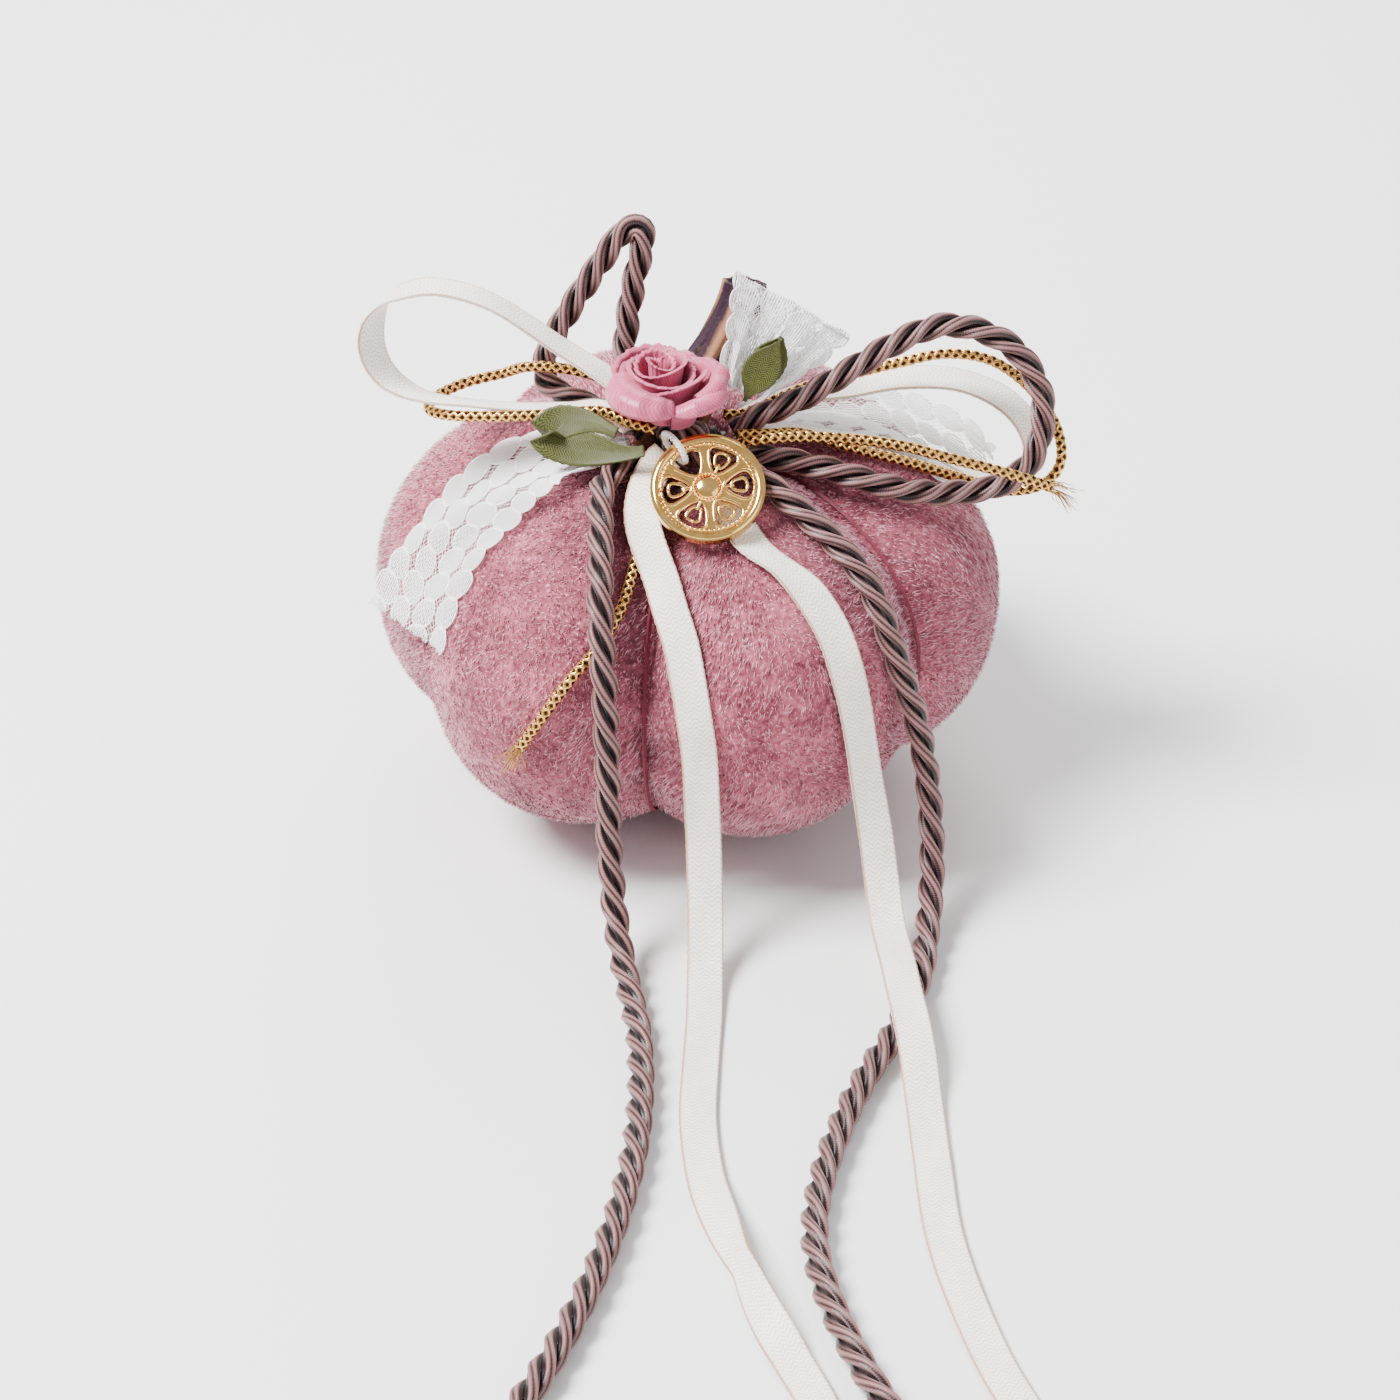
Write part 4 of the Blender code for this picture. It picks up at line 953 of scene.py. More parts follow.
    def height_above(self, place: Grid) -> Grid:
        """How far points lie outside the skin.

        Args:
            place: the points.

        Returns:
            The distances, measured towards the centre.
        """
        raised = place[..., 2] - self.half_height
        y = place[..., 1] - self.top_lean * (np.maximum(raised, 0) / self.half_height) ** 2
        far = np.sqrt(place[..., 0] ** 2 + y**2 + raised**2)
        return far - self.reach(self.turn(np.arctan2(y, place[..., 0])), np.arcsin(raised / far))

    def lift_off(self, place: Grid, clearance: float) -> Grid:
        """Push points out from the centre until they have the clearance.

        Args:
            place: the points.
            clearance: least distance from the skin.

        Returns:
            The moved points.
        """
        centre = np.array([0, 0, self.half_height])
        for _ in range(4):
            short = np.maximum(clearance - self.height_above(place), 0)
            place = place + unit(place - centre) * short[..., None]
        return place

    def build(self) -> None:
        """Make the velvet, its pile and the finishes of the parts inside."""
        self.build_skin()
        self.build_pile("velvet_pile_deep", PILE_DEEP, RANDOM_SEED, self.pile_length)
        # The paler, longer blades carry painted highlights.
        self.build_pile("velvet_pile_glints", PILE_GLINTS, RANDOM_SEED + 1, self.pile_length * 1.15)
        self.dress()

    def build_skin(self) -> bpy.types.Object:
        """Sew the velvet skin as one closed form with deep seams and puckers.

        Returns:
            The skin.
        """
        turn = np.arange(6 * self.columns_per_lobe) / self.columns_per_lobe
        elevation = np.radians(np.linspace(-89.6, 89.6, self.rows))
        turns, elevations = np.meshgrid(turn, elevation)
        shape = Shape()
        shape.grid(self.point(turns, elevations, self.wrinkles(turns, elevations)), around=True, caps=True)
        return shape.build("velvet_body", VELVET, "velvet_cover")

    def build_pile(self, name: str, finish: Finish, seed: int, length: float) -> None:
        """Set short tapered pile tips over the whole skin, lying in brushed patches.

        Args:
            name: the piece's name.
            finish: finish of the tips.
            seed: start of the random draw.
            length: length of the longest tips.
        """
        draw = np.random.default_rng(seed)
        count = self.pile_count
        turn = draw.uniform(0, 6, count)
        elevation = np.arcsin(draw.uniform(-0.93, 0.985, count))
        sink = self.wrinkles(turn, elevation)
        base = self.point(turn, elevation, sink - 0.0001)
        reach = length * draw.uniform(0.5, 1.0, count)
        comb = self.comb * np.sin(turn * 5.1 + 2.2 * np.sin(elevation * 3.3)) * np.cos(elevation * 4.7 + turn)
        tip = self.point(
            turn + comb + draw.normal(0, 0.007, count),
            elevation - 0.006 + comb * 0.8 + draw.normal(0, 0.008, count),
            sink + reach,
        )
        away = unit(tip - base)
        first = unit(np.cross(away, draw.normal(0, 1, (count, 3))))
        second = np.cross(away, first)
        corners = [
            base + self.tip_width * (math.cos(a) * first + math.sin(a) * second)
            for a in (0, math.tau / 3, 2 * math.tau / 3)
        ]
        points = np.stack([*corners, tip], axis=1).reshape(-1, 3)
        block = np.array([[0, 2, 1], [0, 1, 3], [1, 2, 3], [2, 0, 3]])
        faces = (block[None] + 4 * np.arange(count)[:, None, None]).reshape(-1, 3).tolist()
        shape = Shape()
        shape.add(points, faces)
        shape.build(name, finish)

    def dress(self) -> None:
        """Finish the filling, the threads and the base patch."""
        hidden = {"fibre_filling": FIBRE, "base_patch": FELT, "neck_gather_thread": THREAD}
        hidden |= {f"groove_thread_{number}": THREAD for number in range(1, 7)}
        for node, finish in hidden.items():
            dress_node(node, finish)


def dress_node(node: str, finish: Finish) -> None:
    """Give a carried-over part its finish.

    Args:
        node: name of the part.
        finish: its finish.
    """
    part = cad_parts[node]
    part.material_slots[0].material = finish.material()
    LOG.info("%s dressed in %s", node, finish.name)


# ---- Stem ----


@dataclass
class Stem:
    """Ribbed dried stem, leaning to the right.

    Args:
        foot_radius: radius at the foot.
        tip_radius: radius at the tip.
        lean_right: how far the tip stands to the right.
        lean_back: how far the tip stands back.
        foot_left: how far the foot stands to the left.
        ribs: ribs round it.
        sides: points round it.
        cracks: angles of the deep grooves.
        crack_depth: depth of a groove as a share of the radius.
        hollow: share of the rim and depth of each ring in the tip's hollow.
    """

    foot_radius: float = 0.0062
    tip_radius: float = 0.0042
    lean_right: float = 0.0105
    lean_back: float = 0.003
    foot_left: float = 0.0036
    ribs: int = 5
    sides: int = 72
    cracks: tuple[float, ...] = (0.7, 2.4, 4.1)
    crack_depth: float = 0.13
    hollow: tuple = ((0.8, 0.0), (0.6, 0.0012), (0.3, 0.002), (0.04, 0.0022))

    def build(self) -> None:
        """Make the stem, with a cut and hollowed tip."""
        low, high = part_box("dried_stem")
        t = np.linspace(0, 1, 90)
        sway = t * t * (3 - 2 * t) * 0.6 + t * 0.4
        x = (self.lean_right + self.foot_left) * sway - self.foot_left
        y = (low.y + high.y - self.lean_back) / 2 + self.lean_back * t
        line = np.stack([x, y, low.z + 0.0008 + (high.z - low.z - 0.0012) * t], axis=1)
        first, second = side_frames(line)
        turn = (np.arange(self.sides) * math.tau / self.sides)[None, :]
        width = self.foot_radius + (self.tip_radius - self.foot_radius) * np.minimum(1, 1.6 * t)
        t = t[:, None]
        wave = np.cos(self.ribs * turn + 2.4 * t)
        minor = np.cos(13 * turn + 5 * t) * 0.03
        crack = -self.crack_depth * sum(np.exp(-(((turn - start - 0.5 * t) / 0.3) ** 2)) for start in self.cracks)
        width = width[:, None] * (0.92 + 0.12 * wave + minor + crack)
        rows = ring_rows(line, first, second, width, self.sides)
        rim = rows[-1] - line[-1]
        rings = [(line[-1] + rim * share - drop * UPWARD)[None] for share, drop in self.hollow]
        relief = np.clip(0.62 + 0.3 * wave + 6.5 * crack, 0, 1)
        relief = np.concatenate([relief, np.full((len(rings), self.sides), 0.25)])
        shape = Shape()
        shape.grid(np.concatenate([rows, *rings]), around=True, caps=True, relief=relief)
        shape.build("ribbed_stem", BARK, "dried_stem")


# ---- Twisted cord ----


@dataclass(frozen=True)
class Twist:
    """How three strands lie round a cord's middle line.

    Args:
        diameter: cord diameter.
        pitch: length of one full turn of the strands, below nought for a left-hand lay.
        strand_share: a strand's diameter as a share of the cord's.
        plies: ridges round one strand.
    """

    diameter: float = 0.0046
    pitch: float = -0.0175
    strand_share: float = 0.462
    plies: int = 5

    def strands(self, line: Grid, shape: Shape) -> None:
        """Lay three ridged strands round a middle line, with painted shade between plies and strands carried in their
        relief.

        Args:
            line: middle line.
            shape: where the strands go.
        """
        first, second = side_frames(line)
        radius = self.diameter / 2 * self.strand_share
        sides = 6 * self.plies
        turn = (np.arange(sides) * math.tau / sides)[None, :]
        for strand in range(3):
            phase = math.tau * (lengths_along(line) / self.pitch + strand / 3)
            centre = line + (self.diameter / 2 - radius) * arms(phase, first, second)
            # The relief darkens the grooves between the plies and the sides where a strand meets the others: painted
            # shade.
            ply = np.abs(np.cos(self.plies * (turn - phase[:, None] * 0.6) / 2))
            outer = np.clip(1.2 * np.cos(turn - phase[:, None]) + 0.5, 0, 1)
            rows = ring_rows(centre, first, second, radius * (0.8 + 0.22 * ply), sides)
            shape.grid(rows, around=True, caps=True, relief=ply**1.2 * outer)

    def endless(self, line: Grid, square: Grid, shape: Shape, turns: int) -> None:
        """Lay three plain strands round an endless ring, so that they meet themselves.

        Args:
            line: middle line of the ring.
            square: direction square to the ring.
            shape: where the strands go.
            turns: turns of the strands round the ring.
        """
        ahead = unit(np.roll(line, -1, axis=0) - np.roll(line, 1, axis=0))
        second = np.broadcast_to(square, line.shape)
        first = np.cross(ahead, second)
        radius = self.diameter / 2 * self.strand_share
        phase = np.arange(len(line)) / len(line) * math.tau * turns
        for strand in range(3):
            centre = line + (self.diameter / 2 - radius) * arms(phase + strand * math.tau / 3, first, second)
            shape.grid(ring_rows(centre, first, second, radius, 12), around=True, closed=True)


@dataclass
class TwistedCord:
    """One length of three-strand twisted cord.

    Args:
        name: name of the piece.
        node: part that it stands for, and the name of its route.
        far_end: what is on its far end.
        twist: how its strands lie.
    """

    name: str
    node: str
    far_end: str
    twist: Twist = Twist()

    def build(self, end_pieces: tuple = ()) -> None:
        """Args:
            end_pieces: separate pieces on the cord.
        """
        line = even_line(ROUTES[self.node], 0.00055)
        shape = Shape()
        self.twist.strands(line, shape)
        cord = shape.build(self.name, MAUVE, self.node)
        lay_as_cord(cord, line, self.twist.diameter, self.far_end, end_pieces)


@dataclass
class TailKnot:
    """Overhand knot and short fringe at the end of a twisted tail.

    Args:
        side: side of the tail that it ends.
        turns: turns of the winding.
        winding: how the knot's own strands lie.
        neck: how the strands lie between the cord and the knot.
        hairs: filaments of the fringe.
        hair_length: their length.
    """

    side: str
    turns: float = 2.2
    winding: Twist = Twist(diameter=0.0036, pitch=0.012)
    neck: Twist = Twist(diameter=0.0042)
    hairs: int = 26
    hair_length: float = 0.0042

    def build(self) -> bpy.types.Object:
        """Wind the knot round the cord's end and spread the fringe.

        Returns:
            The knot.
        """
        name, node = f"tail_knot_{self.side}_wound", f"tail_knot_{self.side}"
        centre = np.array(sum(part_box(node), Vector()) / 2)
        before, end = ROUTES[f"twisted_tail_{self.side}"][-2:]
        ahead = unit(end - before)
        ahead[2] = 0
        ahead = unit(ahead)
        side = np.cross(UPWARD, ahead)
        t = np.linspace(0, 1, 60)
        wind = 0.0023 * (1 - 0.25 * np.abs(2 * t - 1) ** 3)
        line = centre + ahead * ((t - 0.5) * 0.0052)[:, None]
        line = line + wind[:, None] * arms(math.tau * self.turns * t, side, UPWARD)
        shape = Shape()
        self.winding.strands(line, shape)
        self.neck.strands(np.linspace(end - 0.0015 * ahead, centre + 0.0016 * ahead, 30), shape)
        draw = np.random.default_rng(RANDOM_SEED + len(name))
        s = np.linspace(0, 1, 7)
        for _ in range(self.hairs):
            spread = draw.normal(0, 1, 2)
            hair = centre + ahead * 0.0022 + ahead * (s * self.hair_length)[:, None]
            hair = hair + (s * spread[0] * 0.0008)[:, None] * side
            hair = hair + (s * spread[1] * 0.0006 - 0.0005 * s**2)[:, None] * UPWARD
            hair[:, 2] = np.maximum(hair[:, 2], 0.0003)
            shape.tube(hair, 0.00016 * (1 - 0.5 * s), 4)
        return shape.build(name, MAUVE, node)


# ---- Gold cord ----


@dataclass
class GoldCord:
    """One length of braided metallic cord.

    Args:
        name: name of the piece.
        node: part that it stands for, and the name of its route.
        frayed: the far end is cut and frayed.
        diameter: cord diameter.
        lay: length of one full turn of a thread.
        threads: threads each way round.
        sides: points round it.
        fray_length: length of the loose filaments.
        filaments: number of loose filaments.
    """

    name: str
    node: str
    frayed: bool
    diameter: float = 0.0019
    lay: float = 0.0046
    threads: int = 3
    sides: int = 24
    fray_length: float = 0.006
    filaments: int = 30

    def build(self) -> None:
        line = even_line(ROUTES[self.node], 0.00022)
        first, second = side_frames(line)
        along = lengths_along(line)
        kept = len(line)
        if self.frayed:
            kept = int((along < along[-1] - self.fray_length * 0.35).sum())
        core, first, second, along = line[:kept], first[:kept], second[:kept], along[:kept, None]
        turn = (np.arange(self.sides) * math.tau / self.sides)[None]
        lay = math.tau * along / self.lay
        over = np.maximum(np.cos(self.threads * (turn + lay)), np.cos(self.threads * (turn - lay)))
        rows = ring_rows(core, first, second, self.diameter / 2 * (0.82 + 0.2 * over), self.sides)
        shape = Shape()
        # The relief from over darkens the hollows between the crossing threads: painted shade.
        shape.grid(rows, around=True, caps=True, relief=np.clip(over, 0, 1))
        cord = shape.build(self.name, GOLD_THREAD, self.node)
        if self.frayed:
            lay_as_cord(cord, core, self.diameter, "bare", (self.build_fray(core),))
        else:
            lay_as_cord(cord, core, self.diameter, "object")

    def build_fray(self, core: Grid) -> bpy.types.Object:
        """Loose filaments at the cut end.

        Args:
            core: middle line of the cord.

        Returns:
            The filaments.
        """
        draw = np.random.default_rng(RANDOM_SEED + len(ROUTES[self.node]))
        ahead = unit(core[-1] - core[-12])
        side, up = (rows[-1] for rows in side_frames(core))
        shape = Shape()
        s = np.linspace(0, 1, 9)
        for _ in range(self.filaments):
            angle, wide = draw.uniform(0, math.tau), draw.uniform(0.1, 1.0)
            out = math.cos(angle) * side + math.sin(angle) * up
            reach = self.fray_length * draw.uniform(0.6, 1.0)
            start = core[-1] - ahead * 0.0006 + out * self.diameter * 0.3
            bend = wide * 0.0026 * s**1.6 + 0.0003 * np.sin(s * 7 + angle)
            hair = start + ahead * (s * reach)[:, None] + out * bend[:, None]
            hair[:, 2] -= 0.0006 * s**2
            shape.tube(hair, 0.0001 * (1.1 - 0.6 * s), 4)
        return shape.build(f"{self.name}_fray", GOLD_THREAD)


# ---- Ribbons ----


@dataclass
class RibbonStrip:
    """One length of satin ribbon.

    Args:
        name: name of the piece.
        node: part that it stands for, and the name of its route.
        finish: the ribbon's finish.
        width: ribbon width.
        cut: slant of the cut at the free end, in metres.
        columns: points across it.
        thickness: ribbon thickness.
        taper: share of the width lost where a leaf is pinched.
        pinches: how often a leaf narrows along its loop.
        spacing: distance between rows of points.
    """

    name: str
    node: str
    finish: Finish
    width: float = 0.006
    cut: float = 0.0
    columns: int = 15
    thickness: float = 0.00034
    taper: float = 0.0
    pinches: int = 2
    spacing: float = 0.0007

    def build(self) -> None:
        middle, ahead, across, _ = strip_frames(ROUTES[self.node], self.spacing)
        ahead, side, normal = ahead[:, None], across[:, None], np.cross(ahead, across)[:, None]
        share = np.linspace(-0.5, 0.5, self.columns)[None, :]
        along = lengths_along(middle)[:, None]
        cup = 0.00022 * (1 - (2 * share) ** 2) * np.sin(along * 260)
        edge = 0.00006 * np.sin(along * 5200) * (np.abs(share) > 0.47) * np.sign(share)
        narrow = 1 - self.taper * (0.5 + 0.5 * np.cos(np.linspace(0, math.tau, len(middle)) * self.pinches)) ** 1.4
        rows = middle[:, None] + side * (narrow[:, None] * share * self.width + edge)[..., None]
        rows = rows + normal * cup[..., None]
        if self.cut:
            near = np.clip((along - along[-1] + self.cut) / self.cut, 0, 1)
            rows = rows + ahead * (near * share * self.cut)[..., None]
        shape = Shape()
        shape.cloth(rows, self.thickness)
        ribbon = shape.build(self.name, self.finish, self.node)
        if not self.taper:
            lay_as_cord(ribbon, middle, self.width, "bare" if self.cut else "object")


# ---- Lace ----


@dataclass
class LaceStrip:
    """Knitted lace, made thread by thread.

    Args:
        name: name of the piece.
        node: part that it stands for, and the name of its route.
        body: cushion that it lies on, or nothing where it stands free.
        full_width: width of the lace laid flat.
        motif: length of one row of motifs.
        clearance: distance from the cushion.
        net_gap: distance between the threads of the ground.
        net_radius: radius of those threads.
        fill_gap: distance between the threads that fill a motif.
        fill_radius: radius of those threads.
        outline_radius: radius of a motif's outline.
        columns: middles of the columns of motifs, across the lace.
    """

    name: str
    node: str
    body: PumpkinBody | None = None
    full_width: float = 0.025
    motif: float = 0.0049
    clearance: float = 0.0007
    net_gap: float = 0.0012
    net_radius: float = 0.000055
    fill_gap: float = 0.00052
    fill_radius: float = 0.000145
    outline_radius: float = 0.00014
    columns: tuple[float, ...] = (-0.0091, -0.003, 0.0031, 0.0092)

    def surface(self) -> tuple[Grid, Grid, float]:
        """The sheet that the threads lie on.

        Returns:
            Rows of points, their normals, and the sheet's length.
        """
        middle, ahead, across, facts = strip_frames(ROUTES[self.node], 0.0006)
        width = facts[:, :1]
        share = np.linspace(-0.5, 0.5, 49)[None, :]
        rows = middle[:, None] + across[:, None] * (width * share)[..., None]
        fold = 0.0016 * (1 - width / self.full_width) * np.sin(share * math.tau * 4.5)
        wave = 0.0004 * np.sin(share * 9 + lengths_along(middle)[:, None] * 260)
        rows = rows + np.cross(ahead, across)[:, None] * (fold + wave)[..., None]
        if self.body:
            rows = self.body.lift_off(rows, self.clearance)
        facing = unit(np.cross(np.gradient(rows, axis=0), np.gradient(rows, axis=1)))
        return rows, facing, float(lengths_along(middle)[-1])

    def lay(self, shape: Shape, sheet: tuple[Grid, Grid, float], u: Grid, v: Grid, radius: float) -> None:
        """Lay one thread on the sheet.

        Args:
            shape: where the thread goes.
            sheet: points, normals and length of the sheet.
            u: distance along the sheet at each of the thread's points.
            v: distance across it from the middle.
            radius: thread radius.
        """
        rows, facing, length = sheet
        row = np.clip(u / length, 0, 1) * (len(rows) - 1)
        column = np.clip(v / self.full_width + 0.5, 0, 1) * (rows.shape[1] - 1)
        r0, c0 = np.minimum(row.astype(int), len(rows) - 2), np.minimum(column.astype(int), rows.shape[1] - 2)
        fr, fc = (row - r0)[:, None], (column - c0)[:, None]

        def blend(values: Grid) -> Grid:
            """Values between the four nearest points of the sheet.

            Args:
                values: one row for each point of the sheet.

            Returns:
                One row for each point of the thread.
            """
            upper = values[r0, c0] * (1 - fc) + values[r0, c0 + 1] * fc
            lower = values[r0 + 1, c0] * (1 - fc) + values[r0 + 1, c0 + 1] * fc
            return upper * (1 - fr) + lower * fr

        line = blend(rows) + blend(facing) * radius * 0.4
        if lengths_along(line)[-1] > 3 * radius:
            shape.tube(line, radius, 4)

    def build(self) -> None:
        sheet = self.surface()
        length = sheet[2]
        half = self.full_width / 2
        shape = Shape()
        reach = length + self.full_width
        v = np.linspace(-half + 0.0014, half - 0.0014, 30)
        for tilt in (1, -1):
            for start in np.arange(-reach, reach, self.net_gap):
                u = start + tilt * v * 1.1 + 0.0002 * np.sin(v * 5200)
                inside = (u >= 0) & (u <= length)
                if inside.sum() > 2:
                    self.lay(shape, sheet, u[inside], v[inside], self.net_radius)
        for column, v0 in enumerate(self.columns):
            for number in range(-1, int(length / self.motif) + 2):
                wide = 0.0028 + 0.0003 * math.sin(number * 2.1 + column)
                u0 = (number + 0.5 * (column % 2)) * self.motif
                self.leaf(shape, sheet, u0, v0, self.motif * 0.54, wide, 0.25 if column < 2 else -0.25)
        lace = shape.build(self.name, LACE, self.node)

    def leaf(self, shape: Shape, sheet: tuple, u0: float, v0: float, half_u: float, half_v: float, tilt: float) -> None:
        """One densely filled leaf of the pattern, with its outline.

        Args:
            shape: where the threads go.
            sheet: the sheet.
            u0: middle along the lace.
            v0: middle across the lace.
            half_u: half its length.
            half_v: half its width.
            tilt: slant of its threads.
        """
        length = sheet[2]
        for v in np.arange(-half_v + 0.0003, half_v, self.fill_gap):
            reach = half_u * math.sqrt(max(0, 1 - (v / half_v) ** 2))
            u = u0 + np.linspace(-reach, reach, 9) + tilt * v
            inside = (u >= 0) & (u <= length)
            if inside.sum() > 1:
                self.lay(shape, sheet, u[inside], np.full(inside.sum(), v0 + v), self.fill_radius)
        turn = np.linspace(0, math.tau, 33)
        u = u0 + half_u * np.cos(turn) + tilt * half_v * np.sin(turn)
        v = v0 + half_v * np.sin(turn)
        inside = (u >= 0) & (u <= length)
        if inside.sum() > 2:
            first = int(np.argmin(inside)) if not inside.all() else 0
            u, v, inside = (np.roll(values, -first) for values in (u, v, inside))
            self.lay(shape, sheet, u[inside], v[inside], self.outline_radius)


# ---- Rose ----


@dataclass
class RibbonRose:
    """Rose folded from one satin ribbon: a spiral with a rolled top edge, and five outer folds.

    Args:
        turns: turns of the spiral.
        narrow: its width as a share of its depth.
        thickness: ribbon thickness.
        ribbon_width: ribbon width; not used.
        folds: first angle, span, roll, drop and depth of ribs of each outer fold.
    """

    turns: float = 4.0
    narrow: float = 0.86
    thickness: float = 0.0003
    ribbon_width: float = 0.016
    folds: tuple[tuple[float, ...], ...] = (
        (2.6, 2.3, 0.0034, 0.0008, 0.0),
        (4.85, 1.9, 0.0022, 0.001, 0.00022),
        (0.1, 1.9, 0.002, 0.0012, 0.0003),
        (5.5, 1.7, 0.0017, -0.0006, 0.00025),
        (1.5, 1.9, 0.0016, 0.0002, 0.0),
    )

    def band(
        self, start: float, end: float, grow: float, centre: Grid, height: float, radius: float, ribs: float = 0.0
    ) -> Grid:
        """Rows of points of the folded band.

        Args:
            start: first angle.
            end: last angle.
            grow: how far the roll stands out.
            centre: foot of the rose.
            height: height of the rose.
            radius: outer radius at the end of the band.
            ribs: depth of the ribs pressed into its fold.

        Returns:
            The band's rows.
        """
        count = int((end - start) / 0.04)
        angle = np.linspace(start, end, count)[:, None]
        share = np.linspace(0, 1, count)[:, None]
        q = np.linspace(0, 1, 30)[None, :]
        if start == 0:
            wide = radius * (0.07 + 0.93 * share**0.9) * (1 + 0.1 * np.sin(1.5 * angle + 0.5) * share**0.5)
            size, turned = 0.4 + 0.6 * share, 2.2
            top = height * (1.22 - 0.4 * share**1.4 + 0.1 * np.sin(1.5 * angle + 2.2))
        else:
            belly = np.sin(share * math.pi)
            wide = (radius - 1.5 * grow) * (0.86 + 0.14 * belly)
            size, turned = 0.35 + 0.65 * belly**0.5, 3.3
            top = height * (0.82 + 0.14 * belly)
        rise = np.clip(q / 0.5, 0, 1)
        roll = np.clip((q - 0.5) / 0.5, 0, 1)
        out = wide * (0.72 + 0.28 * rise) + grow * (1 - np.cos(roll * turned)) * size
        z = top * rise + grow * 0.8 * np.sin(roll * turned) * size
        crease = 0.0001 * np.sin(angle * 31 + 3 * np.sin(angle * 5)) * roll + 0.00008 * np.sin(angle * 17) * rise
        rib = np.sin(angle * 11 + 0.8 * np.sin(3 * angle)) * (0.3 * rise + 0.7 * np.sin(roll * math.pi))
        crease = crease + ribs * rib
        plan_x, plan_y = self.narrow * (out + crease) * np.cos(angle), (out + crease) * np.sin(angle)
        return centre + np.stack([plan_x, plan_y, z + crease], axis=-1)

    def build(self) -> None:
        """Fold the rose."""
        low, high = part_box("rose_outer_wrap")
        centre = np.array([(low.x + high.x) / 2, (low.y + high.y) / 2, low.z + 0.0003])
        height, radius = high.z - low.z, (high.x - low.x) / 2
        shape = Shape()
        heart = centre + np.array([-0.0016, 0.0012, 0.0006])
        shape.cloth(self.band(0, self.turns * math.tau, 0.0007, heart, height, radius * 0.76), self.thickness)
        for start, span, grow, drop, ribs in self.folds:
            foot = centre - drop * UPWARD
            shape.cloth(self.band(start, start + span, grow, foot, height * 0.86, radius, ribs), self.thickness)
        rose = shape.build("satin_rose", ROSE, "rose_outer_wrap", "rose_inner_wrap", "rose_bud")


# ---- Charm ----


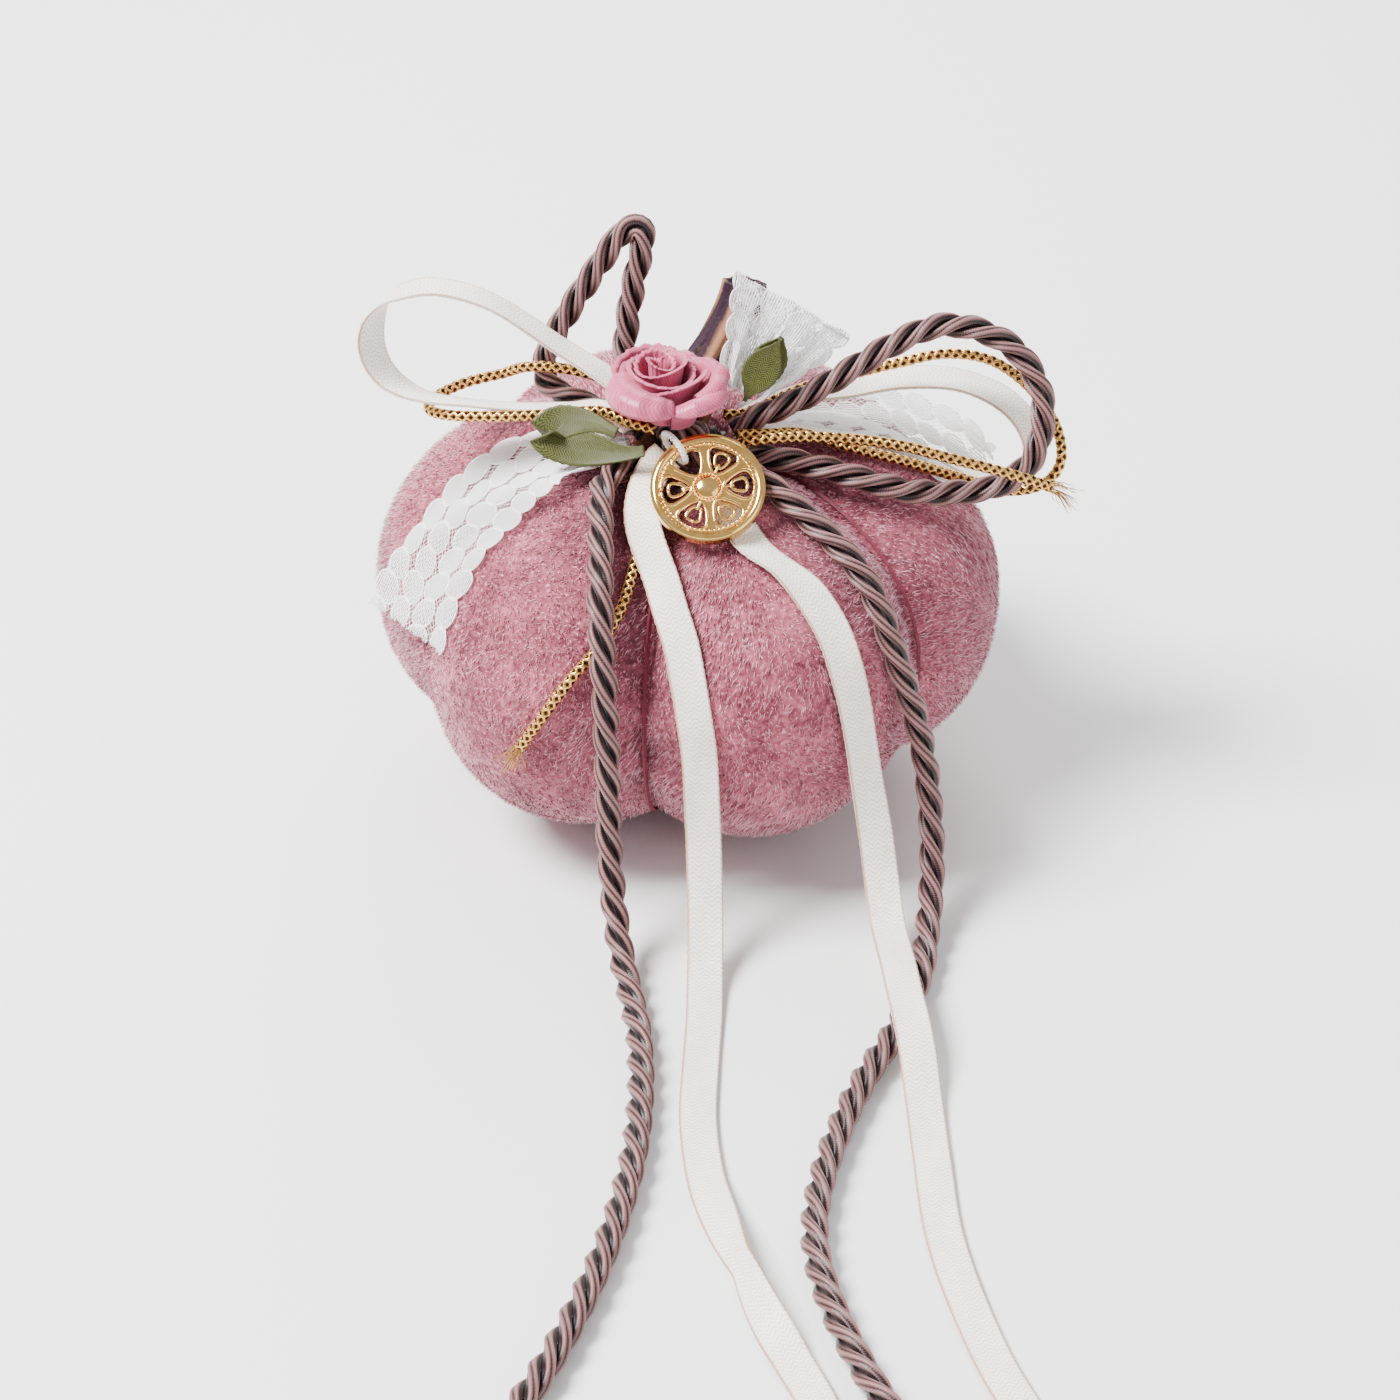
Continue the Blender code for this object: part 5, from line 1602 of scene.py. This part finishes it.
@dataclass
class Charm:
    """Openwork charm: raised rim, pierced petals and a domed hub, and the cotton loop that it hangs by.

    Args:
        radius: radius of the charm.
        thickness: thickness of its disc.
        rim: width of the rim.
        tilt: degrees that it leans back from lying flat.
        hang_angle: degrees round the rim where the loop passes.
        holes: number of pierced petals.
        hub: radius of the hub.
        spoke: width of the bars between the petals.
        wire: radius of the raised wires.
        loop_length: length of the cotton loop.
        loop_width: width of the cotton loop.
        loop_cord: thickness of its cord.
        loop_slope: degrees that it leans from the charm's plane.
        loop_turns: turns of its strands round the loop.
    """

    radius: float = 0.0096
    thickness: float = 0.0016
    rim: float = 0.0017
    tilt: float = 38.0
    hang_angle: float = 125.0
    holes: int = 6
    hub: float = 0.0026
    spoke: float = 0.0011
    wire: float = 0.0003
    loop_length: float = 0.0083
    loop_width: float = 0.0064
    loop_cord: float = 0.0011
    loop_slope: float = 50.0
    loop_turns: int = 8

    def __post_init__(self) -> None:
        """Work out the charm's own directions."""
        low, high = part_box("openwork_charm")
        lean = math.radians(self.tilt)
        self.centre = np.array((low + high) / 2)
        self.right = np.array([1.0, 0.0, 0.0])
        self.up = np.array([0.0, math.cos(lean), math.sin(lean)])
        self.normal = np.cross(self.right, self.up)
        hang = math.radians(self.hang_angle)
        self.outward = self.right * math.cos(hang) + self.up * math.sin(hang)

    def flat(self, radius: Grid, angle: Grid, lift: Grid | float = 0.0) -> Grid:
        """Points of the charm from polar coordinates on it.

        Args:
            radius: distances from its middle.
            angle: angles round it.
            lift: heights above its middle plane.

        Returns:
            The points.
        """
        radius, angle = np.asarray(radius, float), np.asarray(angle, float)
        lift = np.broadcast_to(lift, np.broadcast(radius, angle).shape)
        plan = (radius * np.cos(angle))[..., None] * self.right + (radius * np.sin(angle))[..., None] * self.up
        return self.centre + plan + lift[..., None] * self.normal

    def ring(self, shape: Shape, radius: float, half_width: float, half_height: float, beads: int = 0) -> None:
        """A ring of rounded section, beaded on request.

        Args:
            shape: where the ring goes.
            radius: middle radius.
            half_width: half the section's width.
            half_height: half the section's height.
            beads: beads round the ring.
        """
        angle = np.linspace(0, math.tau, 240, endpoint=False)[:, None]
        turn = np.linspace(0, math.tau, 16, endpoint=False)[None, :]
        swell = 1 + (0.22 * np.abs(np.sin(angle * beads / 2)) if beads else 0)
        rows = self.flat(radius + half_width * np.cos(turn) * swell, angle, half_height * np.sin(turn) * swell)
        shape.grid(rows, around=True, closed=True)

    def petal(self, hole: int, scale: float) -> Grid:
        """Outline of one pierced petal.

        Args:
            hole: which petal.
            scale: 1 for the hole's own edge, less for a smaller outline in it.

        Returns:
            Closed line of points.
        """
        turn = np.linspace(0, math.tau, 61)
        inner, outer = self.hub, self.radius - self.rim
        swell = np.abs(np.cos(turn)) ** 0.7 * np.sign(np.cos(turn)) * scale
        radius = (inner + outer) / 2 + (outer - inner) / 2 * swell
        half = math.pi / self.holes - self.spoke / 2 / radius
        side = np.abs(np.sin(turn)) ** 0.7 * np.sign(np.sin(turn)) * scale
        angle = math.radians(self.hang_angle) + hole * math.tau / self.holes + half * side
        return self.flat(radius, angle, self.thickness * 0.42)

    def build(self) -> None:
        """Make the relief on the charm's disc, and the loop."""
        dress_node("openwork_charm", GOLD)
        shape = Shape()
        self.ring(shape, self.radius - self.rim / 2, self.rim / 2, self.thickness * 0.66)
        self.ring(shape, self.radius - self.rim * 1.08, 0.00028, 0.00095, beads=60)
        for hole in range(self.holes):
            shape.tube(self.petal(hole, 0.98), 0.00034, 8)
            if hole:
                shape.tube(self.petal(hole, 0.5), self.wire, 8)
                angle = math.radians(self.hang_angle) + hole * math.tau / self.holes
                stalk = self.flat(np.linspace(self.hub * 0.9, self.hub * 1.7, 6), angle, self.thickness * 0.42)
                shape.tube(stalk, self.wire, 8)
        rise = np.linspace(0, math.pi / 2, 9)[:, None]
        around = np.linspace(0, math.tau, 36, endpoint=False)[None, :]
        lift = self.thickness / 2 + 0.0008 * np.sin(rise)
        shape.grid(self.flat(self.hub * 0.8 * np.cos(rise) + 0.00002, around, lift), around=True, caps=True)
        self.ring(shape, self.hub * 0.9, self.wire, 0.001, beads=24)
        shape.build("charm_relief", GOLD, body="charm")
        self.build_loop()

    def build_loop(self) -> None:
        """Twist the cotton loop through the rim."""
        slope = math.radians(self.loop_slope)
        along = self.outward * math.cos(slope) - self.normal * math.sin(slope)
        across = self.outward * math.sin(slope) + self.normal * math.cos(slope)
        low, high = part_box("charm_hanging_loop")
        middle = np.array((low + high) / 2)
        turn = np.linspace(0, math.tau, 120, endpoint=False)
        half_long = (self.loop_length - self.loop_cord) / 2
        half_wide = (self.loop_width - self.loop_cord) / 2
        line = middle + half_long * np.cos(turn)[:, None] * along + half_wide * np.sin(turn)[:, None] * across
        shape = Shape()
        Twist(self.loop_cord * 1.05).endless(line, np.cross(along, across), shape, self.loop_turns)
        shape.build("charm_cotton_loop", COTTON, "charm_hanging_loop", body="charm_loop")


# ---- Bow centre ----


@dataclass
class BowCentre:
    """Turns of cord that bind the middle of the bow."""

    def build(self) -> None:
        """Wind the turns round the knot."""
        low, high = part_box("bow_knot")
        centre, half = np.array((low + high) / 2), np.array((high - low) / 2)
        shape = Shape()
        t = np.linspace(0, 1, 110)
        turn = math.tau * 2.05 * t
        reach_y, reach_z = half[1] - 0.0021, half[2] - 0.0019
        x = (t - 0.5) * 2 * (half[0] - 0.0028)
        Twist().strands(centre + np.stack([x, reach_y * np.cos(turn), reach_z * np.sin(turn)], axis=1), shape)
        core = centre + np.linspace(-half[0] + 0.002, half[0] - 0.002, 20)[:, None] * np.array([1.0, 0.0, 0.0])
        shape.tube(core, 0.0018 * np.sqrt(1 - np.linspace(-0.95, 0.95, 20) ** 2) + 0.0003, 16)
        shape.build("bow_knot_turns", MAUVE, "bow_knot")


# ---- Assembly ----


def loops_and_tails(body: PumpkinBody) -> None:
    """Make every cord, ribbon, lace strip and leaf.

    Args:
        body: cushion that the lace lies on.
    """
    knots = {side: TailKnot(side).build() for side in SIDES}
    for side in SIDES:
        TwistedCord(f"mauve_loop_{side}", f"twisted_loop_{side}", "object").build()
        TwistedCord(f"mauve_tail_{side}", f"twisted_tail_{side}", "knot").build((knots[side],))
    for side in SIDES:
        GoldCord(f"gold_braid_loop_{side}", f"gold_loop_{side}", False).build()
        GoldCord(f"gold_braid_tail_{side}", f"gold_tail_{side}", True).build()
    for side in SIDES:
        RibbonStrip(f"satin_loop_{side}", f"ribbon_loop_{side}", CREAM).build()
        RibbonStrip(f"satin_tail_{side}", f"ribbon_tail_{side}", CREAM, cut=0.004).build()
    for side, width, taper, pinches in (("left", 0.0068, 0.72, 1), ("right", 0.0062, 0.9, 2)):
        leaf = RibbonStrip(f"olive_leaf_{side}", f"leaf_loop_{side}", OLIVE, width, taper=taper, pinches=pinches)
        replace(leaf, spacing=0.0003).build()
    LaceStrip("lace_left", "lace_tail_left", body).build()
    LaceStrip("lace_standing_loop", "lace_loop_right").build()
    LaceStrip("lace_right", "lace_tail_right", body).build()


def main() -> None:
    """Build the whole pillow."""
    logging.basicConfig(level=logging.INFO, format="%(name)s %(message)s")
    Studio().build()
    body = PumpkinBody()
    loops_and_tails(body)
    BowCentre().build()
    body.build()
    Stem().build()
    RibbonRose().build()
    Charm().build()


if __name__ == "__main__":
    main()
